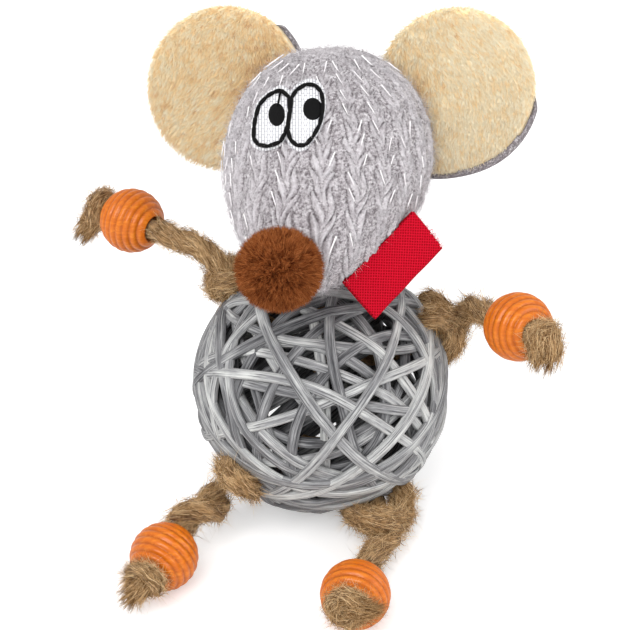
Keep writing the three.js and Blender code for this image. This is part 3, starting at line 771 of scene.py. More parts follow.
def backing_finish(name, scale, low, high, **sockets):
    """What hairs grow on, seen only between them."""
    finish = Finish(name, roughness=1.0, shine=0.1, **sockets)
    spread = finish.even_noise(scale)
    return finish, spread, finish.ramp(spread, low, high)


def plush_finish(settings):
    """The backing of the plush."""
    stops = ((0.3, settings.middle), (0.7, settings.light))
    finish, spread, colour = backing_finish("plush_backing", 1400, *stops, sheen_weight=0.3)
    finish.bump(spread, distance=0.0004, strength=0.7)
    return finish.colour(colour)


def fur_backing_finish(settings):
    """The backing of the nose's fur, painted darker than the fur as shade deep between the tufts."""
    finish, _, colour = backing_finish("fur_backing", 1500, (0.3, settings.dark), (0.8, settings.middle))
    return finish.colour(colour)


def thread_finish(name, base, shade, dash, width):
    """Satin stitches: rows of short threads side by side."""
    finish = Finish(name, roughness=0.6, shine=0.14)
    links = {
        "Vector": finish.coordinates((1, 1, 1), turn=math.pi / 2),
        "Scale": 1.0,
        "Mortar Size": width * 0.13,
        "Mortar Smooth": 0.6,
        "Brick Width": dash,
        "Row Height": width,
        "Color1": opaque(base),
        "Color2": opaque(base),
        "Mortar": opaque(shade),
    }
    bricks = finish.add("TexBrick", links, offset=0.37, offset_frequency=2)
    strands = finish.noise((9000, 700, 1), detail=3)
    finish.bump(finish.combine(bricks.outputs["Fac"], strands, "SUBTRACT"), distance=-0.00012, strength=0.8)
    return finish.colour(finish.mix(finish.times(strands, 0.25), bricks.outputs["Color"], shade))


def ribbon_finish(settings):
    """Woven ribbon: fine diagonal ribs both ways."""
    finish = Finish("red_ribbon", roughness=0.75, shine=0.06)
    ribs = []
    for turn in (math.pi / 4, -math.pi / 4):
        links = {"Vector": finish.coordinates((540, 540, 1), turn=turn), "Scale": 1.0, "Distortion": 0.6}
        ribs.append(finish.add("TexWave", links).outputs["Fac"])
    weave = finish.combine(*ribs, "MAXIMUM")
    spread = finish.noise((2400, 2400, 1), detail=3)
    shade = finish.combine(finish.times(weave, 0.7), finish.times(spread, 0.4))
    finish.bump(shade, distance=0.0003)
    stops = ((0.3, settings.deep), (0.66, settings.red), (1.0, paint(206, 22, 50)))
    return finish.colour(finish.ramp(shade, *stops))


# The ball of cane

LOOP_STEPS = 132
SWAY = 0.012  # of a loop from its plane, as a share of the ball's radius
SWAY_TURNS = (2, 3, 5)
LEVEL_LIMIT = 0.93  # from the ball's middle, the same
MARKS_SHARE = 0.975  # out to the strands of the photograph, the same
LEAN_LIMIT = 0.55  # from the ball's middle to a loop's plane, the same
LAYERS = 2.4  # of strand, from the lowest loop to the ball's outside
TOUCH_SHARE = 0.95  # of a strand's width, where another rides over it
RIDE_SHARE = 0.82  # of a strand's thickness, between two that cross
SPREADING = 14  # rounds of smoothing
TOP_SHARE = 55  # per cent of the upper strands lie below the outside


def loop_of(normal, offset, rng):
    """Directions from the ball's middle to points round a loop that a plane cuts on it."""
    first = unit(np.cross(normal, (0.21, 0.34, 0.91)))
    second = np.cross(normal, first)
    angle = FULL_TURN * np.arange(LOOP_STEPS) / LOOP_STEPS
    sway = sum(
        rng.uniform(-SWAY, SWAY) * np.sin(turns * angle + rng.uniform(0, FULL_TURN)) for turns in SWAY_TURNS
    )
    level = np.clip(offset + sway, -LEVEL_LIMIT, LEVEL_LIMIT)[:, None]
    return unit(level * normal + np.sqrt(1 - level**2) * round_about(angle, first, second))


def wound_cane(name, ball):
    """Points along a cane of the CAD model, which parts where a rope passes."""
    azimuth, elevation, start = CANES[name]
    layer = list(reversed(CANES)).index(name)
    radius = ball.radius - CANE_RADIUS * math.cos(math.pi / CANE_SIDES) - layer * CANE_PITCH
    axis = aim(azimuth, elevation)
    first = np.array((0, 0, -1)) if start is None else unit(np.cross(axis, (0, 0, 1)))
    second = np.cross(axis, first)
    count = CANE_TURNS * CANE_STEPS
    begin = -FULL_TURN * (count / 2 + 0.5) / CANE_STEPS if start is None else math.radians(start)
    clear = math.asin((PASSING_RADIUS + CANE_RADIUS + PASSAGE) / radius)
    clear = math.acos(math.cos(clear) * math.cos(math.pi / CANE_STEPS))
    exits = [np.array((0, 0, 1)), *(aim(*place) for place in HITCHES.values())]
    points = []
    for i in range(count + 1):
        polar = math.radians(CANE_BAND_EDGE + (180 - 2 * CANE_BAND_EDGE) * i / count)
        around = begin + FULL_TURN * i / CANE_STEPS
        point = math.cos(around) * first + math.sin(around) * second
        point = math.cos(polar) * axis + math.sin(polar) * point
        for gate in exits:
            angle = math.acos(max(-1, min(1, point @ gate)))
            if angle < PARTED_REACH * clear:
                wanted = clear + angle * (1 - 1 / PARTED_REACH)
                swing = Matrix.Rotation(wanted - angle, 3, Vector(np.cross(gate, point)))
                point = np.array(swing @ Vector(point))
        points.append(point * radius)
    return np.array(points)


def strand_loops(ball, rng):
    """The loops of cane that show in front, in the order that they were wound."""
    loops = []
    for marks in FRONT_STRANDS:
        spots = on_ball(np.reshape(marks, (3, 2)), ball.radius * MARKS_SHARE)
        first, second, third = unit(spots - BALL_CENTRE)
        square, middle = unit(np.cross(first, third)), unit(first + third)
        lean = math.atan2(-(square @ second), middle @ second - middle @ first)
        lean = (lean + math.pi / 2) % math.pi - math.pi / 2
        most = math.asin(min(1, LEAN_LIMIT / (middle @ first)))
        lean = max(-most, min(most, lean))
        normal = math.cos(lean) * square + math.sin(lean) * middle
        loops.append(loop_of(normal, float(normal @ first), rng))
    farthest = [int(np.argmin(loop @ (VIEW_POINT - BALL_CENTRE))) for loop in loops]
    return [np.roll(loop, -start, axis=0) for loop, start in zip(loops, farthest)]


def strand_heights(under, loops, ball):
    """How far out the points of each loop lie, riding over the cane wound before."""
    lowest = ball.radius - LAYERS * ball.strand_thickness
    highest = ball.radius - ball.strand_thickness / 2
    reach = ball.strand_width * TOUCH_SHARE
    placed_loops, levels, heights = [unit(under)], [norm(under, axis=1)], []
    for loop in loops:
        others, their = np.vstack(placed_loops), np.concatenate(levels)
        apart = np.arccos(np.clip(loop @ others.T, -1, 1)) * ball.radius
        close = np.sqrt(np.clip(1 - (apart / reach) ** 2, 0, 1))
        lift = np.where(apart < reach, their[None] + RIDE_SHARE * ball.strand_thickness * close, 0)
        needed = np.maximum(lowest, lift.max(axis=1))
        height = needed
        for _ in range(SPREADING):
            spread = (np.roll(height, 1) + np.roll(height, -1) + np.roll(height, 2) + np.roll(height, -2)) / 4
            height = np.maximum(needed, spread)
        placed_loops.append(loop)
        levels.append(height)
        heights.append(height)
    top = np.percentile(np.concatenate(heights[len(heights) // 2 :]), TOP_SHARE)
    squeeze = min(1, (highest - lowest) / (top - lowest))
    return [np.minimum(lowest + (height - lowest) * squeeze, highest) for height in heights]


def strand_section(ball):
    """The outline of a strand: a flattened round with grooves along it."""
    half_width, half_thickness = ball.strand_width / 2, ball.strand_thickness / 2
    squareness, furrows, furrow_depth = 0.7, 3, 0.16

    def outline(angle):
        across = np.sign(np.cos(angle)) * np.abs(np.cos(angle)) ** squareness
        height = np.sign(np.sin(angle)) * np.abs(np.sin(angle)) ** squareness
        furrow = furrow_depth * (1 + np.cos(FULL_TURN * furrows * across)) / 2 * np.abs(height)
        return half_width * across, half_thickness * height * (1 - furrow)

    return outline


class CATTOY_OT_ball(bpy.types.Operator):
    """Winds the ball of cane, strand over strand"""

    bl_idname = "cattoy.ball"
    bl_label = "Cane Ball"

    sides = 18  # of a strand
    sunk_share = 0.965  # of the outer cane's distance out, under the loops
    spacing = 0.0014
    end_share = 0.05  # of a step, where a cane's end closes
    # The canes under the loops are painted darker, as shade; the loops differ in tone at random
    cane_tints, loop_tints = (-0.6, 0.1), (0, 1)
    loop_scales = (0.86, 1.1)

    def execute(self, context):
        ball = context.scene.cattoy_ball
        rng = np.random.default_rng(11)
        canes = {name: wound_cane(name, ball) for name in CANES}
        canes["cane_outer"] *= self.sunk_share
        loops = strand_loops(ball, rng)
        heights = strand_heights(canes["cane_outer"], loops, ball)
        section = strand_section(ball)
        material = cane_finish(ball)
        bundles = {}
        for name, marks in canes.items():
            path = BALL_CENTRE + smooth_path(marks, self.spacing)
            near, far = (path[a] + self.end_share * (path[b] - path[a]) for a, b in ((0, 1), (-1, -2)))
            path = np.vstack((path[0], near, path[1:-1], far, path[-1]))
            widths = np.ones(len(path))
            widths[[0, -1]] = 0
            # Painted shade darkens each cane that lies under the loops
            bundles[name] = [self.strand(path, widths, section, rng.uniform(*self.cane_tints))]
        for loop, height in zip(loops, heights):
            path = BALL_CENTRE + loop * height[:, None]
            scale = rng.uniform(*self.loop_scales)
            strand = self.strand(path, scale, section, rng.uniform(*self.loop_tints), closed=True)
            bundles["cane_outer"].append(strand)
        girth = math.pi * (ball.strand_width + ball.strand_thickness) / 2
        for name, strands in bundles.items():
            mesh = joined(name, strands)
            points = points_of(mesh)
            points[:, 2] = np.maximum(points[:, 2], 0)
            mesh.vertices.foreach_set("co", points.ravel())
            set_uvs(mesh, uvs_of(mesh) * (girth / FULL_TURN, 1))
            finished(name + "_strands", mesh, material, "ball", (name,))
        return {"FINISHED"}

    def strand(self, path, widths, section, tint, closed=False):
        """One strand, lying flat on the ball."""
        if closed:
            along = unit(np.roll(path, -1, axis=0) - np.roll(path, 1, axis=0))
            path, along = np.vstack((path, path[:1])), np.vstack((along, along[:1]))
        else:
            along = unit(np.gradient(path, axis=0))
        side = unit(np.cross(along, unit(path - BALL_CENTRE)))
        frames = (along, side, np.cross(side, along))
        return tube("strand", path, widths, self.sides, frames, section, tint)[0]


# The ropes

ROPE_SPACING = 0.0008
TAIL_SPACING = 0.0007
KNOT_SPACING = 0.0006
KNOT_GAP = 0.16  # radians, left open for its ends
KNOT_CROSSING = 1.15  # how far its lengths pass over one another
HAIR_LOOKS = (
    {"slimness": 0.036, "bend": 0.22, "steps": 2},
    {"slimness": 0.036, "bend": -0.35, "steps": 2},
    {"slimness": 0.028, "bend": 0.85, "steps": 3},
)
LYING_SHARE = 0.82  # of the hairs, which have the first two looks
# How far hairs run along the strands, outwards and astray: those that lie, and the rest
LYING_WAY, LOOSE_WAY = (1, 0.08, 0.17), (0.7, 0.55, 0.5)
LEAST_RISE = 0.06  # of every hair from the rope
HAIR_SCATTER = 0.0003
DARK_REACH = 0.0028  # round a rope's cut tip
FLOOR_GAP = 0.0002  # hairs that would come lower are left out


def limb_frame(name):
    """The point where a limb bends and the way that its rope runs."""
    pivot = np.array(JOINTS[name + "_swing"]["pos_m"])
    return pivot, -unit(np.array(JOINTS[name + "_bead_slide"]["axis"]))


def knot_path(middle, axis, ahead, size):
    """The path of an overhand knot drawn tight."""
    axis = unit(axis)
    ahead = unit(ahead - axis * (ahead @ axis))
    side = np.cross(axis, ahead)
    turn = np.linspace(KNOT_GAP, FULL_TURN - KNOT_GAP, 40)
    across = np.sin(turn) + 2 * np.sin(2 * turn)
    up = np.cos(turn) - 2 * np.cos(2 * turn)
    over = -KNOT_CROSSING * np.sin(3 * turn)
    marks = middle + size / 3 * (across[:, None] * side + up[:, None] * ahead + over[:, None] * axis)
    return smooth_path(marks, KNOT_SPACING)


def rope_hairs(name, skins, lowest, count, rope, rng, tip=None):
    """Hairs on a rope: most lie along its strands, and the rest stand off it."""
    skin = Skin.of(skins)
    skin = skin.pick(skin.points[:, 2] > lowest)
    picks = skin.pick(rng.integers(0, len(skin.points), count))
    lies = rng.random(count) < LYING_SHARE
    stray = rng.normal(size=(count, 3))
    sense = np.where(rng.random(count) < 0.5, -1, 1)[:, None]
    flat, loose = (
        along * picks.ways * sense + outward * picks.outs + astray * stray
        for along, outward, astray in (LYING_WAY, LOOSE_WAY)
    )
    aims = np.where(lies[:, None], flat, loose)
    rise = np.sum(aims * picks.outs, axis=1, keepdims=True)
    aims = unit(aims + picks.outs * np.maximum(LEAST_RISE - rise, 0))
    leans = unit(picks.outs + 0.4 * stray)
    lengths = np.where(lies, rng.uniform(0.55, 1.0, count), rng.uniform(0.3, 1.0, count) ** 1.5)
    sizes = rope.hair * lengths
    points = picks.points + HAIR_SCATTER * rng.normal(size=(count, 3))
    shades = rng.random(count)
    if tip is not None:
        shades *= 1 - 0.6 * np.exp(-((norm(points - tip, axis=1) / DARK_REACH) ** 2))
    kinds = np.where(lies, rng.integers(0, 2, count), 2)
    meshes = []
    for kind, look in enumerate(HAIR_LOOKS):
        sag = np.minimum(aims[:, 2], 0) - abs(look["bend"]) * np.abs(leans[:, 2])
        chosen = (kinds == kind) & (points[:, 2] + sizes * sag > FLOOR_GAP)
        growing = (part[chosen] for part in (points, aims, leans, sizes, shades))
        meshes.append(planted(name, look, *growing))
    return joined(name, meshes)


class CATTOY_OT_limb_ropes(bpy.types.Operator):
    """Twists the four limb ropes, with their end knots and their hairs"""

    bl_idname = "cattoy.limb_ropes"
    bl_label = "Limb Ropes"

    hairs = 8600  # on each rope
    bore_room = 0.0006  # between a rope and its bead's bore
    in_bead_width = 0.94  # as a share of the rope's radius
    shaft_widths = {"leg_left": 0.92, "leg_right": 1.08}  # from the hitch to the bead
    # To the right, where a rope leaves its hitch and behind that
    bulges = {"leg_right": (0.0022, 0.0003)}

    # How each rope ends behind its knot: the radius of the knot's coil and of the rope in it, the way
    # that the tail points, its length and its radius, and how far the knot lies beside the bead's
    # bore, in metres
    ends = {
        "arm_left": (0.0027, 0.0021, (-0.55, -0.2, -0.81), 0.0072, 0.0025, (0, 0, 0)),
        "arm_right": (0.0018, 0.0020, (0.1, -0.25, -0.95), 0.0052, 0.0036, (0, 0, 0)),
        "leg_left": (0.0026, 0.0020, (-0.5, -0.4, -0.5), 0.0046, 0.0027, (0.0020, 0, 0.0040)),
        "leg_right": (0.0026, 0.0020, (0.8, -0.35, 0.2), 0.0056, 0.0018, (0.0006, 0, 0.0036)),
    }
    coil_turns = 1.25
    coil_pitch, tail_pitch = 0.034, 0.04

    # How the left leg's second length winds round the first
    second_reach, second_pitch, second_start = 0.0034, 0.021, 2.4

    def execute(self, context):
        rope = context.scene.cattoy_rope
        bead = context.scene.cattoy_bead
        jute = jute_finish(rope)
        hairy = hair_finish("jute_hair", shades_of(rope), shine=0.2)
        half_bead = math.sqrt(bead.radius**2 - (bead.bore + self.bore_room) ** 2)
        for number, name in enumerate(HITCHES):
            rng = np.random.default_rng(40 + number)
            pivot, way = limb_frame(name)
            hitch = BALL_CENTRE + HITCH_REACH * aim(*HITCHES[name])
            distance = BEAD_DISTANCES[name]
            knot_start = distance + half_bead + 0.0004
            path = self.limb_path(name, hitch, pivot, way, distance, knot_start)
            forward = (path - pivot) @ way - distance
            widths = np.where(np.abs(forward) < half_bead + 0.001, self.in_bead_width, 1)
            if name in self.shaft_widths:
                widths = np.where(forward < -half_bead - 0.0005, self.shaft_widths[name], widths)
            meshes, skin = plied_rope(name, path, rope.radius, rope.pitch, widths)
            bare = np.abs((skin.points - pivot) @ way - distance) < half_bead + 0.0006
            skins = [skin.pick(~bare)]
            more, end_skins, tip = self.end_knot(name, pivot + knot_start * way, way)
            meshes += more
            skins += end_skins
            if name == "leg_left":
                more, second_skin = self.second_length(name, hitch, pivot, way, rope)
                meshes += more
                skins.append(second_skin)
            strands = finished(name + "_strands", joined(name, meshes), jute, None, (name + "_rope",))
            hairs = rope_hairs(name + "_hairs", skins, 0.0006, self.hairs, rope, rng, tip=tip)
            fluff = finished(name + "_hairs", hairs, hairy, None, ())
            start, end = tuple(pivot - 0.002 * way), tuple(pivot + 0.004 * way)
            for piece in (strands, fluff):
                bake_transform(piece)
                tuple(start)
                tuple(end)
        return {"FINISHED"}

    def limb_path(self, name, hitch, pivot, way, distance, knot_start):
        """From the hitch over the bend and through the bead to the knot."""
        reaches = (0.002, 0.006, distance, knot_start, knot_start + 0.001)
        marks = [hitch, hitch + 0.6 * (pivot - hitch), *(pivot + reach * way for reach in reaches)]
        for place, bulge in zip((2, 3), self.bulges.get(name, ())):
            marks[place] = marks[place] + np.array((bulge, 0, 0))
        return smooth_path(marks, ROPE_SPACING)

    def end_knot(self, name, start, way):
        """A coil of rope against the bead and the cut tail behind it."""
        coil, thick, aside, length, tail_radius, beside = self.ends[name]
        start = start + np.array(beside) - way * (np.array(beside) @ way)
        aside = unit(np.array(aside))
        side = unit(aside - way * (aside @ way))
        up = np.cross(way, side)
        turn = np.linspace(0, FULL_TURN * self.coil_turns, 40)
        lead = thick + 0.0012 * turn / turn[-1]
        ring = start + lead[:, None] * way + coil * round_about(turn - 0.5 * math.pi, side, up)
        ring[:, 2] = np.maximum(ring[:, 2], thick)
        meshes, skin = plied_rope(name, smooth_path(ring, TAIL_SPACING), thick, self.coil_pitch)
        tail_start = start + 0.0018 * way
        tip = start + 0.0026 * way + length * aside
        tip[2] = max(tip[2], tail_radius)
        bend = tail_start + 0.42 * (tip - tail_start) + 0.0008 * way
        tail = smooth_path((tail_start, bend, tip), TAIL_SPACING)
        more, tail_skin = plied_rope(name, tail, tail_radius, self.tail_pitch)
        return meshes + more, [skin, tail_skin, tail_skin], tip  # a tail has twice the hairs

    def second_length(self, name, hitch, pivot, way, rope):
        """The left leg's rope is doubled near the ball."""
        marks = [hitch, (hitch + pivot) / 2, pivot + 0.002 * way, pivot + 0.0068 * way]
        core = smooth_path(marks, ROPE_SPACING)
        _, side, out = carried_frames(core)
        phase = FULL_TURN * run_of(core) / self.second_pitch + self.second_start
        path = core + self.second_reach * round_about(phase, side, out)
        return plied_rope(name, path, rope.radius * 0.92, rope.pitch)


class CATTOY_OT_cross_ropes(bpy.types.Operator):
    """Leads the ropes across the ball, hitches them round the canes and ties the neck"""

    bl_idname = "cattoy.cross_ropes"
    bl_label = "Ball Ropes"

    hairs = 13000  # on both hitches of a rope
    radius = 0.0022  # of a rope inside the ball
    wrap_radius, wrap_pitch = 0.0027, 0.05  # the wraps are drawn nearly straight
    knot_radius, knot_size = 0.0023, 0.0036  # of a hitch that is hidden

    # Where the wraps of each hitch pass in the photograph, in pixels, and how far out from the ball's
    # middle they lie, in millimetres
    wraps = {
        "leg_right": (
            ((352, 513, 29), (364, 518, 33.5), (386, 521, 36), (405, 521, 35.5), (415, 526, 32)),
            ((358, 518, 29), (372, 529, 33.8), (394, 533, 36), (409, 531, 35), (415, 524, 31.2)),
            ((414, 518, 31), (411, 504, 32.5), (405, 495, 31.5), (398, 490, 28)),
        ),
        "arm_right": (
            ((421, 306, 29), (432, 302, 31.5), (447, 318, 32.5), (452, 338, 32), (446, 354, 29.5)),
            ((424, 322, 29), (436, 318, 32), (455, 330, 33), (460, 350, 30)),
        ),
        "leg_left": (((224, 462, 30), (232, 476, 32.5), (244, 486, 32.5), (256, 490, 29.5)),),
    }

    # Of the neck rope, in metres: its loop, its shaft and its knot, each above the ball's middle
    loop_reach, loop_radius = 0.0040, 0.0015
    shaft_rise, shaft_heights, shaft_radius = 0.003, (0.024, 0.035), 0.0021
    neck_knot_height, neck_knot_size, neck_knot_radius = 0.0364, 0.0022, 0.0016

    def execute(self, context):
        rope = context.scene.cattoy_rope
        # The limb ropes' finishes are taken from those pieces, because the CAD model's plain
        # materials go by the same names
        jute = bpy.data.objects["arm_left_strands"].active_material
        hairy = bpy.data.objects["arm_left_hairs"].active_material
        rng = np.random.default_rng(71)
        legs_way = unit(aim(*HITCHES["leg_left"]) + aim(*HITCHES["leg_right"]))
        for node, ends, middle in (
            ("arms_rope", ("arm_left", "arm_right"), ARMS_ROPE_MIDDLE),
            ("legs_rope", ("leg_left", "leg_right"), BALL_CENTRE + LEGS_ROPE_REACH * legs_way),
        ):
            meshes, _ = plied_rope(node, self.across(*ends, middle), self.radius, rope.pitch)
            skins = []
            for limb in ends:
                for path, radius in self.hitch_paths(limb):
                    more, wrap_skin = plied_rope(node, path, radius, self.wrap_pitch)
                    meshes += more
                    outside = norm(wrap_skin.points - BALL_CENTRE, axis=1) > 0.028
                    skins.append(wrap_skin.pick(outside))
            finished(node + "_strands", joined(node, meshes), jute, "ball", (node,))
            hairs = rope_hairs(node + "_hairs", skins, 0.0008, self.hairs, rope, rng)
            finished(node + "_hairs", hairs, hairy, "ball", ())
        self.neck(rope, jute)
        return {"FINISHED"}

    def across(self, first, second, middle):
        """From one hitch over a middle in the ball to the other hitch."""
        reaches = (0.032, 0.024, 0.018)
        marks = [BALL_CENTRE + reach * aim(*HITCHES[first]) for reach in reaches]
        marks.append(middle)
        marks += [BALL_CENTRE + reach * aim(*HITCHES[second]) for reach in reversed(reaches)]
        return smooth_path(marks, 0.001)

    def hitch_paths(self, limb):
        """The wraps that a hitch shows, and their radii."""
        if limb in self.wraps:
            for wrap in self.wraps[limb]:
                marks = [on_ball((across, down), reach / 1000)[0] for across, down, reach in wrap]
                yield smooth_path(marks, ROPE_SPACING), self.wrap_radius
            return
        _, way = limb_frame(limb)
        outward = aim(*HITCHES[limb])
        axis = unit(outward + 0.5 * np.array((0, -1, 0)))
        yield knot_path(BALL_CENTRE + HITCH_REACH * outward, axis, way, self.knot_size), self.knot_radius

    def neck(self, rope, jute):
        """The neck rope loops round the arms' rope and ends in a knot inside the head."""
        along = unit(aim(*HITCHES["arm_right"]) - aim(*HITCHES["arm_left"]))
        side = unit(np.cross(along, (0, 0, 1)))
        turn = np.linspace(-0.4 * math.pi, 1.6 * math.pi, 24)
        ring = ARMS_ROPE_MIDDLE + self.loop_reach * round_about(turn, side, np.cross(side, along))
        up = np.array((0, 0, 1))
        heights = [BALL_CENTRE + height * up for height in self.shaft_heights]
        marks = (ARMS_ROPE_MIDDLE + self.shaft_rise * up, *heights)
        knot = knot_path(
            BALL_CENTRE + self.neck_knot_height * up, up, np.array((0, 1, 0)), self.neck_knot_size
        )
        meshes = []
        for path, radius in (
            (smooth_path(ring, ROPE_SPACING), self.loop_radius),
            (smooth_path(marks, 0.0009), self.shaft_radius),
            (knot, self.neck_knot_radius),
        ):
            meshes += plied_rope("neck", path, radius, rope.pitch)[0]
        finished("neck_rope_strands", joined("neck", meshes), jute, "ball", ("neck_rope",))


# The beads


class CATTOY_OT_beads(bpy.types.Operator):
    """Turns the four wooden beads, with rings and a bore"""

    bl_idname = "cattoy.beads"
    bl_label = "Beads"

    mouth_room = 0.0005  # how much wider than the bore the bead's round ends
    bevel, bevel_length = 0.0002, 0.0003  # of the bore's mouths
    groove_half, dark_half = 0.5, 0.34  # of a groove and of its painted shade, as shares of a ring
    groove_steepness, dark_steepness = 1.7, 1.5
    sides, steps_a_ring = 64, 9

    def execute(self, context):
        bead = context.scene.cattoy_bead
        material = wood_finish(bead)
        for name, distance in BEAD_DISTANCES.items():
            pivot, way = limb_frame(name)
            place = Vector(way).to_track_quat("Z", "Y").to_matrix().to_4x4()
            mesh = self.bead_mesh(bead)
            mesh.transform(Matrix.Translation(pivot + distance * way) @ place)
            finished(name + "_bead_turned", mesh, material, name + "_bead", (name + "_bead",))
        return {"FINISHED"}

    def bead_mesh(self, bead):
        """A bead round its own middle, with its bore along Z."""
        edge = math.asin((bead.bore + self.mouth_room) / bead.radius)
        polar = np.linspace(edge, math.pi - edge, self.steps_a_ring * bead.rings + 1)
        phase = (polar - edge) / (math.pi - 2 * edge) * bead.rings
        near = np.abs(phase - np.rint(phase))
        inner = (np.rint(phase) > 0) & (np.rint(phase) < bead.rings)

        def cut(half, steepness):
            return np.where(inner, np.clip(1 - near / half, 0, 1) ** steepness, 0)

        reach = bead.radius - bead.groove * cut(self.groove_half, self.groove_steepness)
        outline = [(r * math.sin(a), 0, r * math.cos(a)) for r, a in zip(reach, polar)]
        half, bore = bead.radius * math.cos(edge), bead.bore
        inside = [(bore + self.bevel, 0, -half - self.bevel / 10), (bore, 0, -half + self.bevel_length)]
        inside += [(bore, 0, half * share) for share in (-0.5, 0, 0.5)]
        inside += [(bore, 0, half - self.bevel_length), (bore + self.bevel, 0, half + self.bevel / 10)]
        form = bmesh.new()
        corners = [form.verts.new(point) for point in outline + inside]
        edges = [form.edges.new(pair) for pair in zip(corners, corners[1:] + corners[:1])]
        about = {"cent": (0, 0, 0), "axis": (0, 0, 1), "angle": FULL_TURN}
        bmesh.ops.spin(form, geom=corners + edges, steps=self.sides, use_merge=True, **about)
        bmesh.ops.remove_doubles(form, verts=form.verts, dist=MERGE_DISTANCE)
        bmesh.ops.recalc_face_normals(form, faces=form.faces)
        mesh = mesh_of(form, "bead")
        points = points_of(mesh)
        far = np.maximum(norm(points, axis=1), TINY)
        tilt = np.arccos(np.clip(points[:, 2] / far, -1, 1))
        groove_shade = np.interp(tilt, polar, cut(self.dark_half, self.dark_steepness))
        # Painted shade fills the bore
        groove_shade[np.hypot(points[:, 0], points[:, 1]) < bore + self.bevel_length] = 1
        mark_points(mesh, groove=groove_shade)
        return mesh


# The head

SIGHT_START, SIGHT_END, SIGHT_STEP = 0.27, 0.45, 0.0005  # from the camera
EGG_NEAR, EGG_FAR = 0.01, 0.04  # from the egg's middle
HALVINGS = 25
EYE_REACH = 0.0062  # round its middle, where no hair grows

# The stitches' heights, and their places across and down as shares of a stitch
KNIT_GROUND = 0.4  # the mean height between the legs of the stitches
LEG_START, LEG_SLANT, LEG_LENGTH = 0.29, 0.175, 1.45
LEG_HALF_WIDTH, LEG_HEIGHT, LOWER_LEG = 0.075, 0.95, 0.14
FURROW_PLACE, FURROW_WIDTH, FURROW_DEPTH, FURROW_LENGTH = 1.5, 0.035, 0.3, 1.3
SUNK_START, SUNK_EDGE, SUNK_HEIGHT = 0.28, 0.1, 0.22


def egg_radius(head, forward, grown=0.0):
    """The egg's radius at a distance from its middle towards the nose."""
    share = np.clip(-forward / (head.half_length + grown), -1, 1)
    return (head.half_width + grown) * np.sqrt(1 - share**2) * (1 + head.taper * share)


def egg_point(head, turn, share):
    """Points on the egg in the head's own frame: share runs from the back, 0, to the nose, 1."""
    forward = -head.half_length * np.cos(math.pi * share)
    radius = egg_radius(head, forward)
    return np.stack((radius * np.cos(turn), -forward, radius * np.sin(turn)), axis=1)


def egg_normal(head, points):
    """The ways out of the egg at points in the head's own frame."""
    forward = -points[:, 1]
    step = 0.0002
    slope = (egg_radius(head, forward + step) - egg_radius(head, forward - step)) / (2 * step)
    ring = np.maximum(np.hypot(points[:, 0], points[:, 2]), 1e-6)
    return unit(np.stack((points[:, 0] / ring, slope, points[:, 2] / ring), axis=1))


def outside_egg(head, points, grown=0.0):
    """How far points in the head's own frame lie outside the egg, on its level."""
    return np.hypot(points[:, 0], points[:, 2]) - egg_radius(head, -points[:, 1], grown)


def last_place(near, far, holds):
    """The last distance between near and far where something holds."""
    for _ in range(HALVINGS):
        middle = (near + far) / 2
        here = holds(middle)
        near, far = np.where(here, middle, near), np.where(here, far, middle)
    return near


def egg_hits(head, marks, grown):
    """Where the lines of sight through marks meet the grown egg, in the head's frame."""
    inverse = HEAD_PLACE.inverted()
    start = moved(VIEW_POINT[None], inverse)[0]
    ways = turned(sights(marks), inverse)
    grown = np.broadcast_to(grown, len(ways))

    def before_egg(reach):
        return outside_egg(head, start + ways * reach[:, None], grown) > 0

    near, far = np.full(len(ways), SIGHT_START), np.full(len(ways), SIGHT_END)
    for reach in np.arange(SIGHT_START, SIGHT_END, SIGHT_STEP):
        before = before_egg(np.full(len(ways), reach))
        searching = far == SIGHT_END
        near = np.where(searching & before, reach, near)
        far = np.where(searching & ~before, reach, far)
    return start + ways * last_place(near, far, before_egg)[:, None]


def egg_along(head, ways):
    """The points of the egg in the given directions from its middle."""

    def in_egg(reach):
        return outside_egg(head, ways * reach[:, None]) < 0

    near, far = np.full(len(ways), EGG_NEAR), np.full(len(ways), EGG_FAR)
    return ways * last_place(near, far, in_egg)[:, None]


def off_eyes(head, points):
    """Which points of the toy lie clear of the eyes."""
    clear = np.ones(len(points), bool)
    for marks in EYE_OUTLINES.values():
        eye = moved(egg_hits(head, np.mean(marks, axis=0)[None], 0.0), HEAD_PLACE)
        clear &= norm(points - eye, axis=1) > EYE_REACH
    return clear


def knit_axes():
    """The pole, the front and the right of the knitting in the head's own frame."""
    pole, front = (turned(np.array(way), HEAD_PLACE.inverted()) for way in (KNIT_AXIS, KNIT_FRONT))
    return pole, front, np.cross(pole, front)


def knit_place(head, points):
    """Which wale and which course of the knitting lies at points in the head's own frame."""
    pole, front, right = knit_axes()
    ways = unit(points)
    wale = np.arctan2(ways @ right, ways @ front) / FULL_TURN * head.wales
    return wale + 100.5, np.arccos(np.clip(ways @ pole, -1, 1)) / math.pi * head.courses


def knit_way(head, wale, course):
    """The directions from the middle of the head to places in the knitting."""
    pole, front, right = knit_axes()
    around, polar = FULL_TURN * wale / head.wales, math.pi * course / head.courses
    ring = round_about(around, front, right)
    return np.cos(polar)[:, None] * pole + np.sin(polar)[:, None] * ring


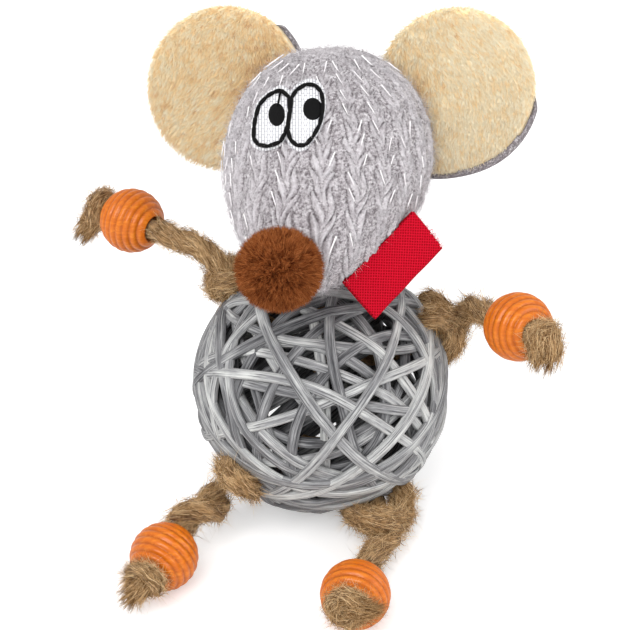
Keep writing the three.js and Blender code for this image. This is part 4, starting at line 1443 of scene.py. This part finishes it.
def stitch_relief(wale, course):
    """How high the stitches stand, 0 to 1: columns of V shapes and sunk, rougher ones between."""
    from_middle = np.abs(wale - np.floor(wale) - 0.5)
    height = KNIT_GROUND + 0.10 * np.cos(FULL_TURN * from_middle)
    for row in (0, 1):  # each leg reaches into the row below its own
        down = course - np.floor(course) + row
        aside = np.abs(from_middle - (LEG_START - LEG_SLANT * down))
        arch = np.clip(np.sin(math.pi * np.clip(down / LEG_LENGTH, 0, 1)), 0, 1) ** 0.4
        half_width = LEG_HALF_WIDTH * arch + 1e-4
        ridge = np.sqrt(np.clip(1 - (aside / half_width) ** 2, 0, 1))
        top = LEG_HEIGHT - LOWER_LEG * (1 - row)
        height = np.maximum(height, ridge * np.where(down < LEG_LENGTH, top, 0))
        furrow = np.exp(-(((aside - FURROW_PLACE * half_width) / FURROW_WIDTH) ** 2))
        height = height - FURROW_DEPTH * furrow * (height < 0.6) * (down < FURROW_LENGTH)
    sunk = np.clip((from_middle - SUNK_START) / SUNK_EDGE, 0, 1)
    rows = course * 3 + 0.3 * np.sin(FULL_TURN * wale * 1.7)
    columns = wale * 4 + 0.25 * np.sin(FULL_TURN * course * 2.3)
    loops = np.cos(FULL_TURN * rows) * np.cos(FULL_TURN * columns)
    return np.clip(height + SUNK_HEIGHT * sunk * loops, 0, 1)


class CATTOY_OT_head(bpy.types.Operator):
    """Knits the head's cover over its filling"""

    bl_idname = "cattoy.head"
    bl_label = "Knitted Head"

    columns, rows = 400, 230
    fill = 0.9
    surface_height = 0.75  # the stitches' height that lies on the egg
    fuzz_hairs = 11000
    fuzz_look = {"slimness": 0.021, "bend": 0.4}
    label_half, label_room = 0.011, 0.0032  # fuzz leaves room along the label's seam
    thread_look = {"slimness": 0.085, "bend": 0.06, "sides": 5, "steps": 3, "tip": 0.6}
    threads_off_label = 0.0125
    ears_aside, ears_back = 0.0160, 0.004  # threads end where the ears are sewn on
    lowest_thread = 0.0645

    def execute(self, context):
        head = context.scene.cattoy_head
        rng = np.random.default_rng(5)

        def relief(base):
            wale, course = knit_place(head, base)
            sway = np.sin(base[:, 0] / 0.0021 + 3 * course) + np.sin(base[:, 1] / 0.0016 + 2 * wale)
            sway *= 0.05
            near_pole = np.clip(np.minimum(course, head.courses - course) - 0.4, 0, 1)
            stitches = stitch_relief(wale + sway, course + 1.4 * sway)
            return KNIT_GROUND + (stitches - KNIT_GROUND) * near_pole

        def place(turn, share):
            base = egg_point(head, FULL_TURN * turn, share)
            height = (relief(base) - self.surface_height) * head.relief
            return moved(base + egg_normal(head, base) * height[:, None], HEAD_PLACE)

        # The knit finish reads the stitches' height to paint shade in the gaps and a highlight on the raised
        # legs
        def attributes(turn, share):
            return {"relief": relief(egg_point(head, FULL_TURN * turn, share))}

        mesh = bent_grid("head", self.columns, self.rows, place, attributes=attributes)
        nodes = ("head_cover", "head_filling")
        finished("head_knit", mesh, knit_finish(head), "head", nodes, fill=self.fill)
        self.fuzz(head, rng)
        self.threads(head, rng)
        return {"FINISHED"}

    def fuzz(self, head, rng):
        """Fine hairs lie all over the knitting."""
        turn = rng.random(self.fuzz_hairs) * FULL_TURN
        share = np.arccos(rng.uniform(-0.985, 0.985, self.fuzz_hairs)) / math.pi
        points = egg_point(head, turn, share)
        label = points - np.array(LABEL_MIDDLE)
        along = np.clip(label @ np.array(LABEL_EDGE), -self.label_half, self.label_half)
        free = norm(label - along[:, None] * np.array(LABEL_EDGE), axis=1) > self.label_room
        points = points[free & off_eyes(head, moved(points, HEAD_PLACE))]
        count = len(points)
        outs = egg_normal(head, points)
        stray = rng.normal(size=(count, 3))
        along = unit(np.cross(outs, np.cross(stray, outs)))
        lift = np.where(rng.random(count) < 0.8, rng.uniform(0.02, 0.22, count), rng.uniform(0.3, 0.9, count))
        aims, leans = (turned(ways, HEAD_PLACE) for ways in (along + lift[:, None] * outs, outs))
        sizes, shades = rng.uniform(0.0010, 0.0036, count), rng.random(count) ** 0.8
        mesh = planted("fuzz", self.fuzz_look, moved(points, HEAD_PLACE), aims, leans, sizes, shades)
        paints = (paint(150, 141, 146), paint(210, 204, 208), paint(246, 243, 245))
        finish = hair_finish("knit_fuzz", paints)
        finished("head_fuzz", mesh, finish, "head", (), fill=self.fill)

    def threads(self, head, rng):
        """A pale thread lies along a leg of most stitches, mostly the left one."""
        wales, rows = np.meshgrid(np.arange(head.wales), np.arange(2, head.courses - 2))
        wale, course = wales.ravel() + 0.0, rows.ravel() + rng.uniform(-0.12, 0.12, wales.size)
        left = rng.random(wale.size) < 0.62
        kept = rng.random(wale.size) < np.where(left, 0.95, 0.6)
        wale, course, sense = wale[kept], course[kept], np.where(left[kept], -1, 1)
        ends = []
        lower = rng.uniform(0.8, 1.0, len(wale))
        for aside, down, height in ((0.30, 0.05, 0.54), (0.10, lower, 0.36)):
            spread = aside + rng.uniform(-0.03, 0.03, len(wale))
            base = egg_along(head, knit_way(head, wale + sense * spread, course + down))
            ends.append(moved(base + egg_normal(head, base) * head.relief * height, HEAD_PLACE))
        start, end = ends
        way, middle = end - start, (start + end) / 2
        outs = unit(start - np.array(HEAD_PLACE.translation))
        label = np.array(HEAD_PLACE @ LABEL_MIDDLE)
        off_label = norm(start - label, axis=1) > self.threads_off_label
        in_head = moved(middle, HEAD_PLACE.inverted())
        at_ears = (np.abs(in_head[:, 0]) > self.ears_aside) & (in_head[:, 1] > self.ears_back)
        free = off_label & off_eyes(head, middle) & ~at_ears & (end[:, 2] > self.lowest_thread)
        start, way, outs = start[free], way[free], outs[free]
        shades = 0.35 + 0.65 * rng.random(len(start))
        mesh = planted("threads", self.thread_look, start, way, outs, norm(way, axis=1), shades)
        paints = (paint(216, 211, 214), head.thread, paint(255, 253, 253))
        finish = hair_finish("pale_thread", paints, roughness=0.5)
        finished("head_threads", mesh, finish, "head", ())


class CATTOY_OT_eyes(bpy.types.Operator):
    """Embroiders the two eyes on the knitting"""

    bl_idname = "cattoy.eyes"
    bl_label = "Eyes"

    outline_radius = 17  # of an eye in the photograph, in pixels
    filling_heights, pupil_heights = (0.0002, 0.0009), (0.0007, 0.0013)  # over the egg, edge and middle
    line_height, lash_height = 0.00115, 0.00125
    lash_radius = 0.00022
    overlap = 0.07  # of the outline's stitches, as a share of a stitch
    tuck = 0.0012  # how deep the edge of a patch turns down
    patch_merge = 1e-6

    def execute(self, context):
        eye = context.scene.cattoy_eye
        head = context.scene.cattoy_head
        white = thread_finish("white_thread", eye.white, paint(150, 149, 160), 0.0013, 0.00062)
        black = thread_finish("black_thread", eye.black, paint(8, 7, 8), 0.0011, 0.0003)
        away = norm(VIEW_POINT - np.array(HEAD_PLACE.translation))
        scale = away * SENSOR / LENS / PHOTO_SIZE  # metres for a pixel
        for name, marks in EYE_OUTLINES.items():
            outline = smooth_path(marks, 0.8, closed=True)
            middle = outline[:-1].mean(axis=0)
            rim = middle + (outline - middle) * (1 + eye.rim / scale / self.outline_radius)
            filling = self.patch(head, middle, rim, self.filling_heights, scale, 60, 26)
            finished(name + "_stitches", filling, white, "head", (name + "_white",))
            line = self.stitched(head, name, marks, eye.line)
            finished(name + "_line", line, black, "head", (name + "_outline",))
            across, down, wide, tall = EYE_PUPILS[name]
            turn = np.linspace(0, FULL_TURN, 60)
            ring = np.stack((across + wide * np.cos(turn), down + tall * np.sin(turn)), axis=1)
            pieces = [self.patch(head, np.array((across, down)), ring, self.pupil_heights, scale, 40, 12)]
            if name == "eye_left":
                pieces.append(self.lash(head, name, (across + 1, down - tall * 0.7)))
            finished(name + "_dot", joined(name, pieces), black, "head", (name + "_pupil",))
        return {"FINISHED"}

    def stitched(self, head, name, marks, line):
        """The outline: straight stitches, each a bundle of threads, from mark to mark."""
        stitches = []
        for first, second in zip(marks, marks[1:] + marks[:1]):
            ends = np.array((first, second))
            steps = np.linspace(-self.overlap, 1 + self.overlap, 12)
            spots = ends[0] + steps[:, None] * (ends[1] - ends[0])
            points = moved(egg_hits(head, spots, self.line_height), HEAD_PLACE)
            bulge = 0.72 + 0.36 * np.sin(math.pi * np.clip(steps, 0, 1)) ** 0.6
            bulge[[0, -1]] = 0
            stitches.append(tube(name, points, line * bulge, 10)[0])
        return joined(name, stitches)

    def patch(self, head, middle, ring, heights, scale, columns, rows):
        """A padded patch inside a ring of marks."""
        run = run_of(ring)
        run /= run[-1]
        low, high = heights

        def spots(turn, share):
            edge = np.stack([np.interp(turn, run, ring[:, k]) for k in (0, 1)], axis=1)
            return middle + (edge - middle) * share[:, None]

        def place(turn, share):
            grown = low + (high - low) * np.clip(1 - share**7, 0, 1) - self.tuck * (share > 0.999)
            return moved(egg_hits(head, spots(turn, share), grown), HEAD_PLACE)

        mesh = bent_grid("patch", columns, rows, place, merge=False)
        turn, share = uvs_of(mesh).T
        set_uvs(mesh, spots(turn, share) * (scale, -scale))
        form = bmesh.new()
        form.from_mesh(mesh)
        bmesh.ops.remove_doubles(form, verts=form.verts, dist=self.patch_merge)
        bmesh.ops.recalc_face_normals(form, faces=form.faces)
        face = max(form.faces, key=lambda f: f.calc_area())
        if face.normal @ (face.calc_center_median() - HEAD_PLACE.translation) < 0:
            bmesh.ops.reverse_faces(form, faces=form.faces)
        form.to_mesh(mesh)
        form.free()
        return mesh

    def lash(self, head, name, start):
        """A thin line runs from the pupil up to the top of the outline."""
        top = EYE_OUTLINES[name][0]
        marks = np.linspace(start, (top[0] - 0.5, top[1] + 1), 8)
        points = moved(egg_hits(head, marks, self.lash_height), HEAD_PLACE)
        return tube(name, smooth_path(points, 0.0003), self.lash_radius, 6)[0]


# The nose

NEAREST_PART = 2000  # hairs at a time
TUFT_SIZE = 0.001


def fur_aims(points, outs, rng, spots, pull, stray):
    """Ways that fur lies, its tips drawn together in tufts, and how much paler each tuft is."""
    tufts = points[rng.integers(0, len(points), spots)]
    nearest = np.empty(len(points), int)
    for start in range(0, len(points), NEAREST_PART):
        part = slice(start, start + NEAREST_PART)
        nearest[part] = np.argmin(((points[part][:, None] - tufts[None]) ** 2).sum(axis=2), axis=1)
    inward = (tufts[nearest] - points) / TUFT_SIZE
    return outs + pull * inward + stray * rng.normal(size=points.shape), rng.normal(size=spots)[nearest]


class CATTOY_OT_nose(bpy.types.Operator):
    """Makes the fur nose"""

    bl_idname = "cattoy.nose"
    bl_label = "Nose"

    flatness = np.array((1, 1, 0.92))
    hairs, tufts = 20000, 520
    looks = ({"slimness": 0.075, "bend": 0.3}, {"slimness": 0.075, "bend": 0.12})
    sag = (0, 0, -0.5)  # where most hairs bend
    fill = 0.8

    def execute(self, context):
        nose = context.scene.cattoy_nose
        rng = np.random.default_rng(9)
        centre = np.array(HEAD_PLACE @ NOSE_MIDDLE)
        core_radius = nose.radius - nose.fur * 0.85

        def place(turn, share):
            polar, around = math.pi * share, FULL_TURN * turn
            ring = np.sin(polar)
            ways = np.stack((ring * np.cos(around), ring * np.sin(around), np.cos(polar)), axis=1)
            return centre + core_radius * ways * self.flatness

        core = bent_grid("nose", 48, 32, place)
        backing = fur_backing_finish(nose)
        finished("nose_backing", core, backing, "head", ("nose_thread",), fill=self.fill)
        outs = unit(rng.normal(size=(self.hairs, 3)))
        points = centre + outs * core_radius * 0.98 * self.flatness
        aims, paler = fur_aims(points, outs, rng, self.tufts, 0.36, 0.2)
        sizes = nose.fur * rng.uniform(0.72, 1.08, self.hairs)
        shades = np.clip(rng.normal(0.5, 0.22, self.hairs) + 0.08 * paler, 0, 1)
        kinds = rng.random(self.hairs) < 0.5
        meshes = []
        for look, chosen in zip(self.looks, (kinds, ~kinds)):
            leans = rng.normal(size=(int(chosen.sum()), 3)) + self.sag
            places, ways = points[chosen], aims[chosen]
            meshes.append(planted("fur", look, places, ways, leans, sizes[chosen], shades[chosen]))
        mesh = joined("fur", meshes)
        fur = hair_finish("brown_fur", shades_of(nose), shine=0.12)
        finished("nose_fur", mesh, fur, "head", ("nose_pompom",), fill=self.fill)
        return {"FINISHED"}


# The ears


def away_from(turn, degrees):
    """How far turns in radians lie from an angle in degrees, from -180 to 180 degrees."""
    return (np.degrees(turn) - degrees + 180) % 360 - 180


class CATTOY_OT_ears(bpy.types.Operator):
    """Sews the two padded ears: plush in front and knitting behind"""

    bl_idname = "cattoy.ears"
    bl_label = "Ears"

    fill = 0.7
    backing_depth = 0.55  # of the pile's length
    seam_depth = 0.0004  # of the knitting's edge behind the plush's
    dome_share = 0.8  # of the way over the edge and back in
    squareness = 0.8
    front_grid, back_grid = (120, 60), (200, 110)
    stitch_width, stitch_height, stitch_relief = 0.0042, 0.0034, 0.0006  # of the knitting behind
    knit_radius = 0.018
    sunk_in_head = 0.0022
    hairs, tufts = 20000, 2000
    pile_look = {"slimness": 0.095, "bend": 0.3}

    # Where the left and the right ear's knitting shows in front: the middle and the half width of
    # the stretch, in degrees round the ear, and its depth as a share of the radius
    wraps = {-1: (32, 16, 0.05), 1: (-56, 60, 0.08)}

    # Where an ear is fuller than a round one, low down near its root, in the same way
    lobes = {-1: (-106, 36, 0.04), 1: (-114, 26, 0.11)}

    # The painted light of each ear's plush, the right one painted lighter as it is lit more, and how much
    # darker it is beside the head, where the pile is pressed and has painted shade
    brightness = {-1: (0.70, 0.7), 1: (0.88, 0.4)}

    def execute(self, context):
        ear = context.scene.cattoy_ear
        head = context.scene.cattoy_head
        backing = plush_finish(ear)
        light = {"sheen_weight": 0.25, "shine": 0.15}
        plush = hair_finish("cream_plush", shades_of(ear), **light)
        knit = bpy.data.objects["head_knit"].active_material
        inset = ear.pile * self.backing_depth
        aside, back, up = EAR_MIDDLE
        for name, side in (("ear_left", -1), ("ear_right", 1)):
            rng = np.random.default_rng(21 + side)
            root = Matrix.Translation((side * aside, back, up))
            place = HEAD_PLACE @ root @ rotation(-EAR_TURN * side, "Z") @ rotation(EAR_LEAN, "X")
            front = self.half(ear, head, place, side, -1, inset)
            nodes = (name + "_front", name + "_wadding")
            finished(name + "_plush_backing", front, backing, name, nodes, fill=self.fill)
            behind = self.half(ear, head, place, side, 1, inset + self.seam_depth)
            nodes = (name + "_back",)
            finished(name + "_knit_back", behind, knit, name, nodes, fill=self.fill)
            pile = self.pile(ear, head, place, side, inset, rng)
            finished(name + "_plush", pile, plush, name, (), fill=self.fill)
        return {"FINISHED"}

    def wrap(self, turn, side):
        """How far in from the edge the knitting reaches, as a share of the ear's radius."""
        middle, half, depth = self.wraps[side]
        return depth * np.clip(1 - (away_from(turn, middle) / half) ** 2, 0, 1)

    def dome(self, ear, turn, share, facing, inset, side):
        """Points of one face of an ear in its own frame: share runs from its middle to its edge."""
        angle = math.pi / 2 * share
        middle, half, fuller = self.lobes[side]
        lobe = 1 + fuller * np.exp(-((away_from(turn, middle) / half) ** 2))
        radius = (ear.radius - inset) * np.sin(angle) * lobe
        thick = (ear.thickness / 2 - inset) * np.clip(np.cos(angle), 0, 1) ** self.squareness
        across, over = radius * np.cos(turn), radius * np.sin(turn)
        root = np.exp(-(((across + side * 0.011) / 0.006) ** 2) - ((over + 0.004) / 0.009) ** 2)
        dent = 0.0011 * root if facing < 0 else 0
        return np.stack((across, facing * (thick - dent), over), axis=1)

    def held(self, head, points, place):
        """Points in the toy's frame, none of them deep in the head."""
        inside = moved(points, HEAD_PLACE.inverted() @ place)
        ring = np.hypot(inside[:, 0], inside[:, 2])
        allowed = egg_radius(head, -inside[:, 1], -self.sunk_in_head)
        short = (ring < allowed) & (allowed > 0)
        scale = np.where(short, allowed / np.maximum(ring, 1e-6), 1)
        inside[:, 0] *= scale
        inside[:, 2] *= scale
        return moved(inside, HEAD_PLACE)

    def half(self, ear, head, place, side, facing, inset):
        """The front or the back of an ear, from its middle over its edge and back in."""

        def shape(turn, share):
            turn = FULL_TURN * turn
            on_dome = np.clip(share / self.dome_share, 0, 1)
            back_in = np.clip((share - self.dome_share) / (1 - self.dome_share), 0, 1) ** 1.6
            if facing < 0:
                points = self.dome(ear, turn, on_dome, facing, inset, side)
            else:
                slack = inset * (1 - np.minimum(self.wrap(turn, side) / 0.03, 1))
                points = self.dome(ear, turn, on_dome, facing, slack, side)
                shown = (back_in == 0) * np.clip((1 - on_dome) * 8, 0, 1)
                points[:, 1] += self.stitch_relief * self.stitches(turn, share) * shown
            points[:, 0] *= 1 - back_in
            points[:, 2] *= 1 - back_in
            if facing > 0:
                wrapped = (back_in > 0) & (back_in < self.wrap(turn, side))
                bulge = np.sqrt(np.clip(1 - (1 - back_in) ** 2, 0, 1)) ** self.squareness
                points[:, 1] = np.where(wrapped, 0.0001 - ear.thickness / 2 * bulge, points[:, 1])
            return self.held(head, points, place)

        def attributes(turn, share):
            return {"relief": self.stitches(FULL_TURN * turn, share)}

        columns, rows = self.front_grid if facing < 0 else self.back_grid
        return bent_grid("ear", columns, rows, shape, attributes=attributes)

    def stitches(self, turn, share):
        """The knitting of an ear's back, tight and shaded where it turns over the edge."""
        reach = self.knit_radius * np.sin(math.pi / 2 * np.clip(share / self.dome_share, 0, 1))
        wale, course = reach * np.cos(turn) / self.stitch_width, reach * np.sin(turn) / self.stitch_height
        edge = 0.14 + 0.16 * np.sin(turn * 60) * np.sin(share * 300)
        return np.where(share > 0.76, edge, stitch_relief(wale + 40, course + 40))

    def pile(self, ear, head, place, side, inset, rng):
        """The plush in front, which lies in swirls and tufts."""
        turn = rng.random(self.hairs) * FULL_TURN
        share = 2 / math.pi * np.arcsin(np.sqrt(rng.random(self.hairs)) * 0.9995)
        open_plush = np.sin(math.pi / 2 * share) < 1 - 0.9 * self.wrap(turn, side)
        turn, share = turn[open_plush], share[open_plush]
        count, step = len(turn), 0.01
        near, around, ahead = (
            self.dome(ear, angle, along, -1, inset, side)
            for angle, along in ((turn, share), (turn + step, share), (turn, np.minimum(share + step, 1.0)))
        )
        outs = unit(np.cross(around - near, ahead - near))
        outs = np.where(outs[:, 1:2] > 0.2, -outs, outs)
        across, up = near[:, 0], near[:, 2]
        swirl = 0.5 * np.sin(across / 0.007 + 1.3 * side) + 0.5 * np.sin(up / 0.006)
        lay = np.stack((0.25 * swirl + 0.12 * side, np.zeros(count), np.full(count, -0.35)), axis=1)
        lay = square_to(lay, outs)
        aims, paler = fur_aims(near, outs, rng, self.tufts, 0.14, 0.12)
        aims = aims + 3.2 * lay
        root = self.held(head, near, place)
        free = norm(root - moved(near, place), axis=1) < 1e-5
        free &= outside_egg(head, moved(near, HEAD_PLACE.inverted() @ place)) > -0.0008
        sizes = ear.pile * rng.uniform(0.75, 1.15, count) * (1 - 0.4 * share**8)
        bright, darker = self.brightness[side]
        # Painted shade beside the head, where the pile is also pressed flat
        pressed_and_shaded = np.exp(-(((across + side * 0.0105) / 0.0062) ** 2) - ((up + 0.004) / 0.010) ** 2)
        beside = (across * lay[:, 2] - up * lay[:, 0]) / np.hypot(lay[:, 0], lay[:, 2])
        warp = 1.6 * np.sin(up / 0.0011 + 2 * np.sin(across / 0.0017)) + 1.3 * np.sin(across / 0.0023)
        streak = np.sin(beside / 0.00015 + warp)
        shades = rng.normal(0, 0.10, count) + 0.07 * streak + 0.15 * paler + bright - darker * pressed_and_shaded
        leans = lay[free] + 0.3 * rng.normal(size=(int(free.sum()), 3))
        aims, leans = turned(aims[free], place), turned(leans, place)
        shades = np.clip(shades, 0, 1)[free]
        return planted("pile", self.pile_look, root[free], aims, leans, sizes[free], shades)


# The label


class CATTOY_OT_label(bpy.types.Operator):
    """Folds and sews on the bare red label"""

    bl_idname = "cattoy.label"
    bl_label = "Label"

    columns = 60
    air = 0.00028  # from the middle of the fold to a layer
    fold_depth = 0.0006  # of the round of the fold
    sway, ripple = 0.0005, 0.00012
    frayed = 110
    fray_look = {"slimness": 0.15, "bend": 0.2, "sides": 4}

    def execute(self, context):
        label = context.scene.cattoy_label
        out = (LABEL_OUT - LABEL_EDGE * LABEL_OUT.dot(LABEL_EDGE)).normalized()
        place = Matrix((LABEL_EDGE, out, LABEL_EDGE.cross(out))).transposed().to_4x4()
        place.translation = LABEL_MIDDLE
        place = HEAD_PLACE @ place
        gap = self.air + label.thickness / 2
        half, turning = label.reach * 0.5, label.reach - self.fold_depth
        marks = [(0.0, gap), (half, gap * 1.5), (turning, gap), (label.reach, 0.0)]
        marks += [(turning, -gap), (half, -gap * 1.1), (0.0, -gap)]
        fold = smooth_path(marks, 0.0004)
        run = run_of(fold)

        def shape(across, along):
            reach, height = (np.interp(along * run[-1], run, fold[:, k]) for k in (0, 1))
            wide = (across - 0.5) * label.width
            out_share = reach / label.reach
            curl = self.sway * np.sin(2.2 * wide / label.width + 0.6) * out_share**2
            curl += self.ripple * np.sin(wide / 0.0013) * out_share
            return moved(np.stack((wide, reach, height + curl), axis=1), place)

        size = (label.width, run[-1])
        mesh = bent_grid("label", self.columns, len(fold) - 1, shape, size, merge=False)
        ribbon = ribbon_finish(label)
        cloth = finished("label_cloth", mesh, ribbon, "label", ("label_ribbon",))
        wall = cloth.modifiers.new("Thickness", "SOLIDIFY")
        wall.thickness = label.thickness
        wall.offset = 0
        self.frays(label, place)
        return {"FINISHED"}

    def frays(self, label, place):
        """Pale threads of the weave stick out of the ribbon's cut end."""
        rng = np.random.default_rng(3)
        count = self.frayed
        edge = np.full(count, label.width / 2 - 0.0003)
        reach = rng.uniform(0.0008, label.reach - 0.0002, count)
        starts = np.stack((edge, reach, rng.uniform(-0.0004, 0.0004, count)), axis=1)
        aims = np.stack((np.ones(count), rng.normal(0, 0.35, count), rng.normal(0, 0.25, count)), axis=1)
        leans = rng.normal(size=(count, 3))
        sizes, shades = rng.uniform(0.0006, 0.0017, count), rng.random(count)
        starts, aims = moved(starts, place), turned(aims, place)
        mesh = planted("frays", self.fray_look, starts, aims, leans, sizes, shades)
        paints = (paint(214, 96, 112), paint(232, 190, 192), paint(246, 236, 232))
        finished("label_threads", mesh, hair_finish("cut_threads", paints), "label", ())


# The stage

FLOOR_SIZE = 4
FLOOR_GLOW = 0.32  # of the floor, as the camera sees it
# Each lamp's place and size, in metres
LAMPS = {
    "key": ((-0.22, -0.66, 0.78), 0.62),
    "side": ((0.62, -0.36, 0.42), 0.5),
    "small": ((-0.5, -0.62, 0.55), 0.16),
}
LAMP_TARGET = Vector((0, 0, 0.05))
NEAREST_SEEN = 0.01


class CATTOY_OT_stage(bpy.types.Operator):
    """Sets the floor, the lamps and the camera"""

    bl_idname = "cattoy.stage"
    bl_label = "Stage"

    def execute(self, context):
        stage = context.scene.cattoy_stage
        context.scene.view_settings.view_transform = "Standard"
        form = bmesh.new()
        bmesh.ops.create_grid(form, x_segments=1, y_segments=1, size=FLOOR_SIZE)
        finished("floor", mesh_of(form, "floor"), self.floor_finish(stage), smooth=False)
        for name, (place, size) in LAMPS.items():
            self.lamp(name + "_lamp", place, size, getattr(stage, name))
        self.sky(context.scene, stage)
        camera = bpy.data.cameras.new("camera")
        camera.lens = LENS
        camera.sensor_width = SENSOR
        camera.clip_start = NEAREST_SEEN
        viewer = placed("camera", camera)
        viewer.location = VIEW_POINT
        viewer.rotation_euler = (VIEW_TILT, 0, 0)
        context.scene.camera = viewer
        return {"FINISHED"}

    def floor_finish(self, stage):
        """The floor, which the camera sees a little brighter than its light makes it."""
        finish = Finish("floor", roughness=0.9, shine=0.0)
        finish.shader.inputs["Base Color"].default_value = opaque(stage.floor)
        seen = finish.add("LightPath").outputs["Is Camera Ray"]
        glow = finish.add("Emission", {"Strength": finish.times(seen, FLOOR_GLOW)})
        both = finish.add("AddShader", {0: finish.shader.outputs[0], 1: glow.outputs[0]})
        finish.tree.links.new(both.outputs[0], finish.tree.nodes["Material Output"].inputs["Surface"])
        return finish.material

    def lamp(self, name, place, size, power):
        """A round lamp that faces the toy."""
        light = bpy.data.lights.new(name, "AREA")
        light.shape = "DISK"
        light.size = size
        light.energy = power
        lamp = placed(name, light)
        lamp.location = place
        lamp.rotation_euler = (LAMP_TARGET - Vector(place)).to_track_quat("-Z", "Y").to_euler()

    def sky(self, scene, stage):
        """Even light from all round, which the camera sees as plain white."""
        world = bpy.data.worlds.new("sky")
        world.use_nodes = True
        scene.world = world
        tree = world.node_tree
        background = tree.nodes["Background"]
        background.inputs["Color"].default_value = opaque(1)
        path = tree.nodes.new("ShaderNodeLightPath")
        choice = tree.nodes.new("ShaderNodeMix")
        tree.links.new(path.outputs["Is Camera Ray"], choice.inputs[0])
        choice.inputs[2].default_value = stage.sky
        choice.inputs[3].default_value = 1
        tree.links.new(choice.outputs[0], background.inputs["Strength"])


class CATTOY_PT_panel(bpy.types.Panel):
    """Lists the pieces of the toy"""

    bl_idname = "CATTOY_PT_panel"
    bl_label = "Mouse Cat Toy"
    bl_space_type = "VIEW_3D"
    bl_region_type = "UI"
    bl_category = "Cat Toy"

    def draw(self, context):
        for key, _, operators in SECTIONS:
            box = self.layout.box()
            settings = getattr(context.scene, key)
            for prop in settings.bl_rna.properties:
                if prop.identifier not in ("rna_type", "name"):
                    box.prop(settings, prop.identifier)
            for operator in operators:
                box.operator(operator.bl_idname)


SECTIONS = (
    ("cattoy_ball", BallSettings, (CATTOY_OT_ball,)),
    ("cattoy_rope", RopeSettings, (CATTOY_OT_limb_ropes, CATTOY_OT_cross_ropes)),
    ("cattoy_bead", BeadSettings, (CATTOY_OT_beads,)),
    ("cattoy_head", HeadSettings, (CATTOY_OT_head,)),
    ("cattoy_eye", EyeSettings, (CATTOY_OT_eyes,)),
    ("cattoy_nose", NoseSettings, (CATTOY_OT_nose,)),
    ("cattoy_ear", EarSettings, (CATTOY_OT_ears,)),
    ("cattoy_label", LabelSettings, (CATTOY_OT_label,)),
    ("cattoy_stage", StageSettings, (CATTOY_OT_stage,)),
)


def register():
    for key, settings, operators in SECTIONS:
        bpy.utils.register_class(settings)
        setattr(bpy.types.Scene, key, PointerProperty(type=settings))
        for operator in operators:
            bpy.utils.register_class(operator)
    bpy.utils.register_class(CATTOY_PT_panel)


def unregister():
    bpy.utils.unregister_class(CATTOY_PT_panel)
    for key, settings, operators in reversed(SECTIONS):
        for operator in operators:
            bpy.utils.unregister_class(operator)
        delattr(bpy.types.Scene, key)
        bpy.utils.unregister_class(settings)


def main():
    register()
    bpy.ops.cattoy.stage()
    bpy.ops.cattoy.ball()
    bpy.ops.cattoy.limb_ropes()
    bpy.ops.cattoy.cross_ropes()
    bpy.ops.cattoy.beads()
    bpy.ops.cattoy.head()
    bpy.ops.cattoy.eyes()
    bpy.ops.cattoy.nose()
    bpy.ops.cattoy.ears()
    bpy.ops.cattoy.label()


if __name__ == "__main__":
    main()
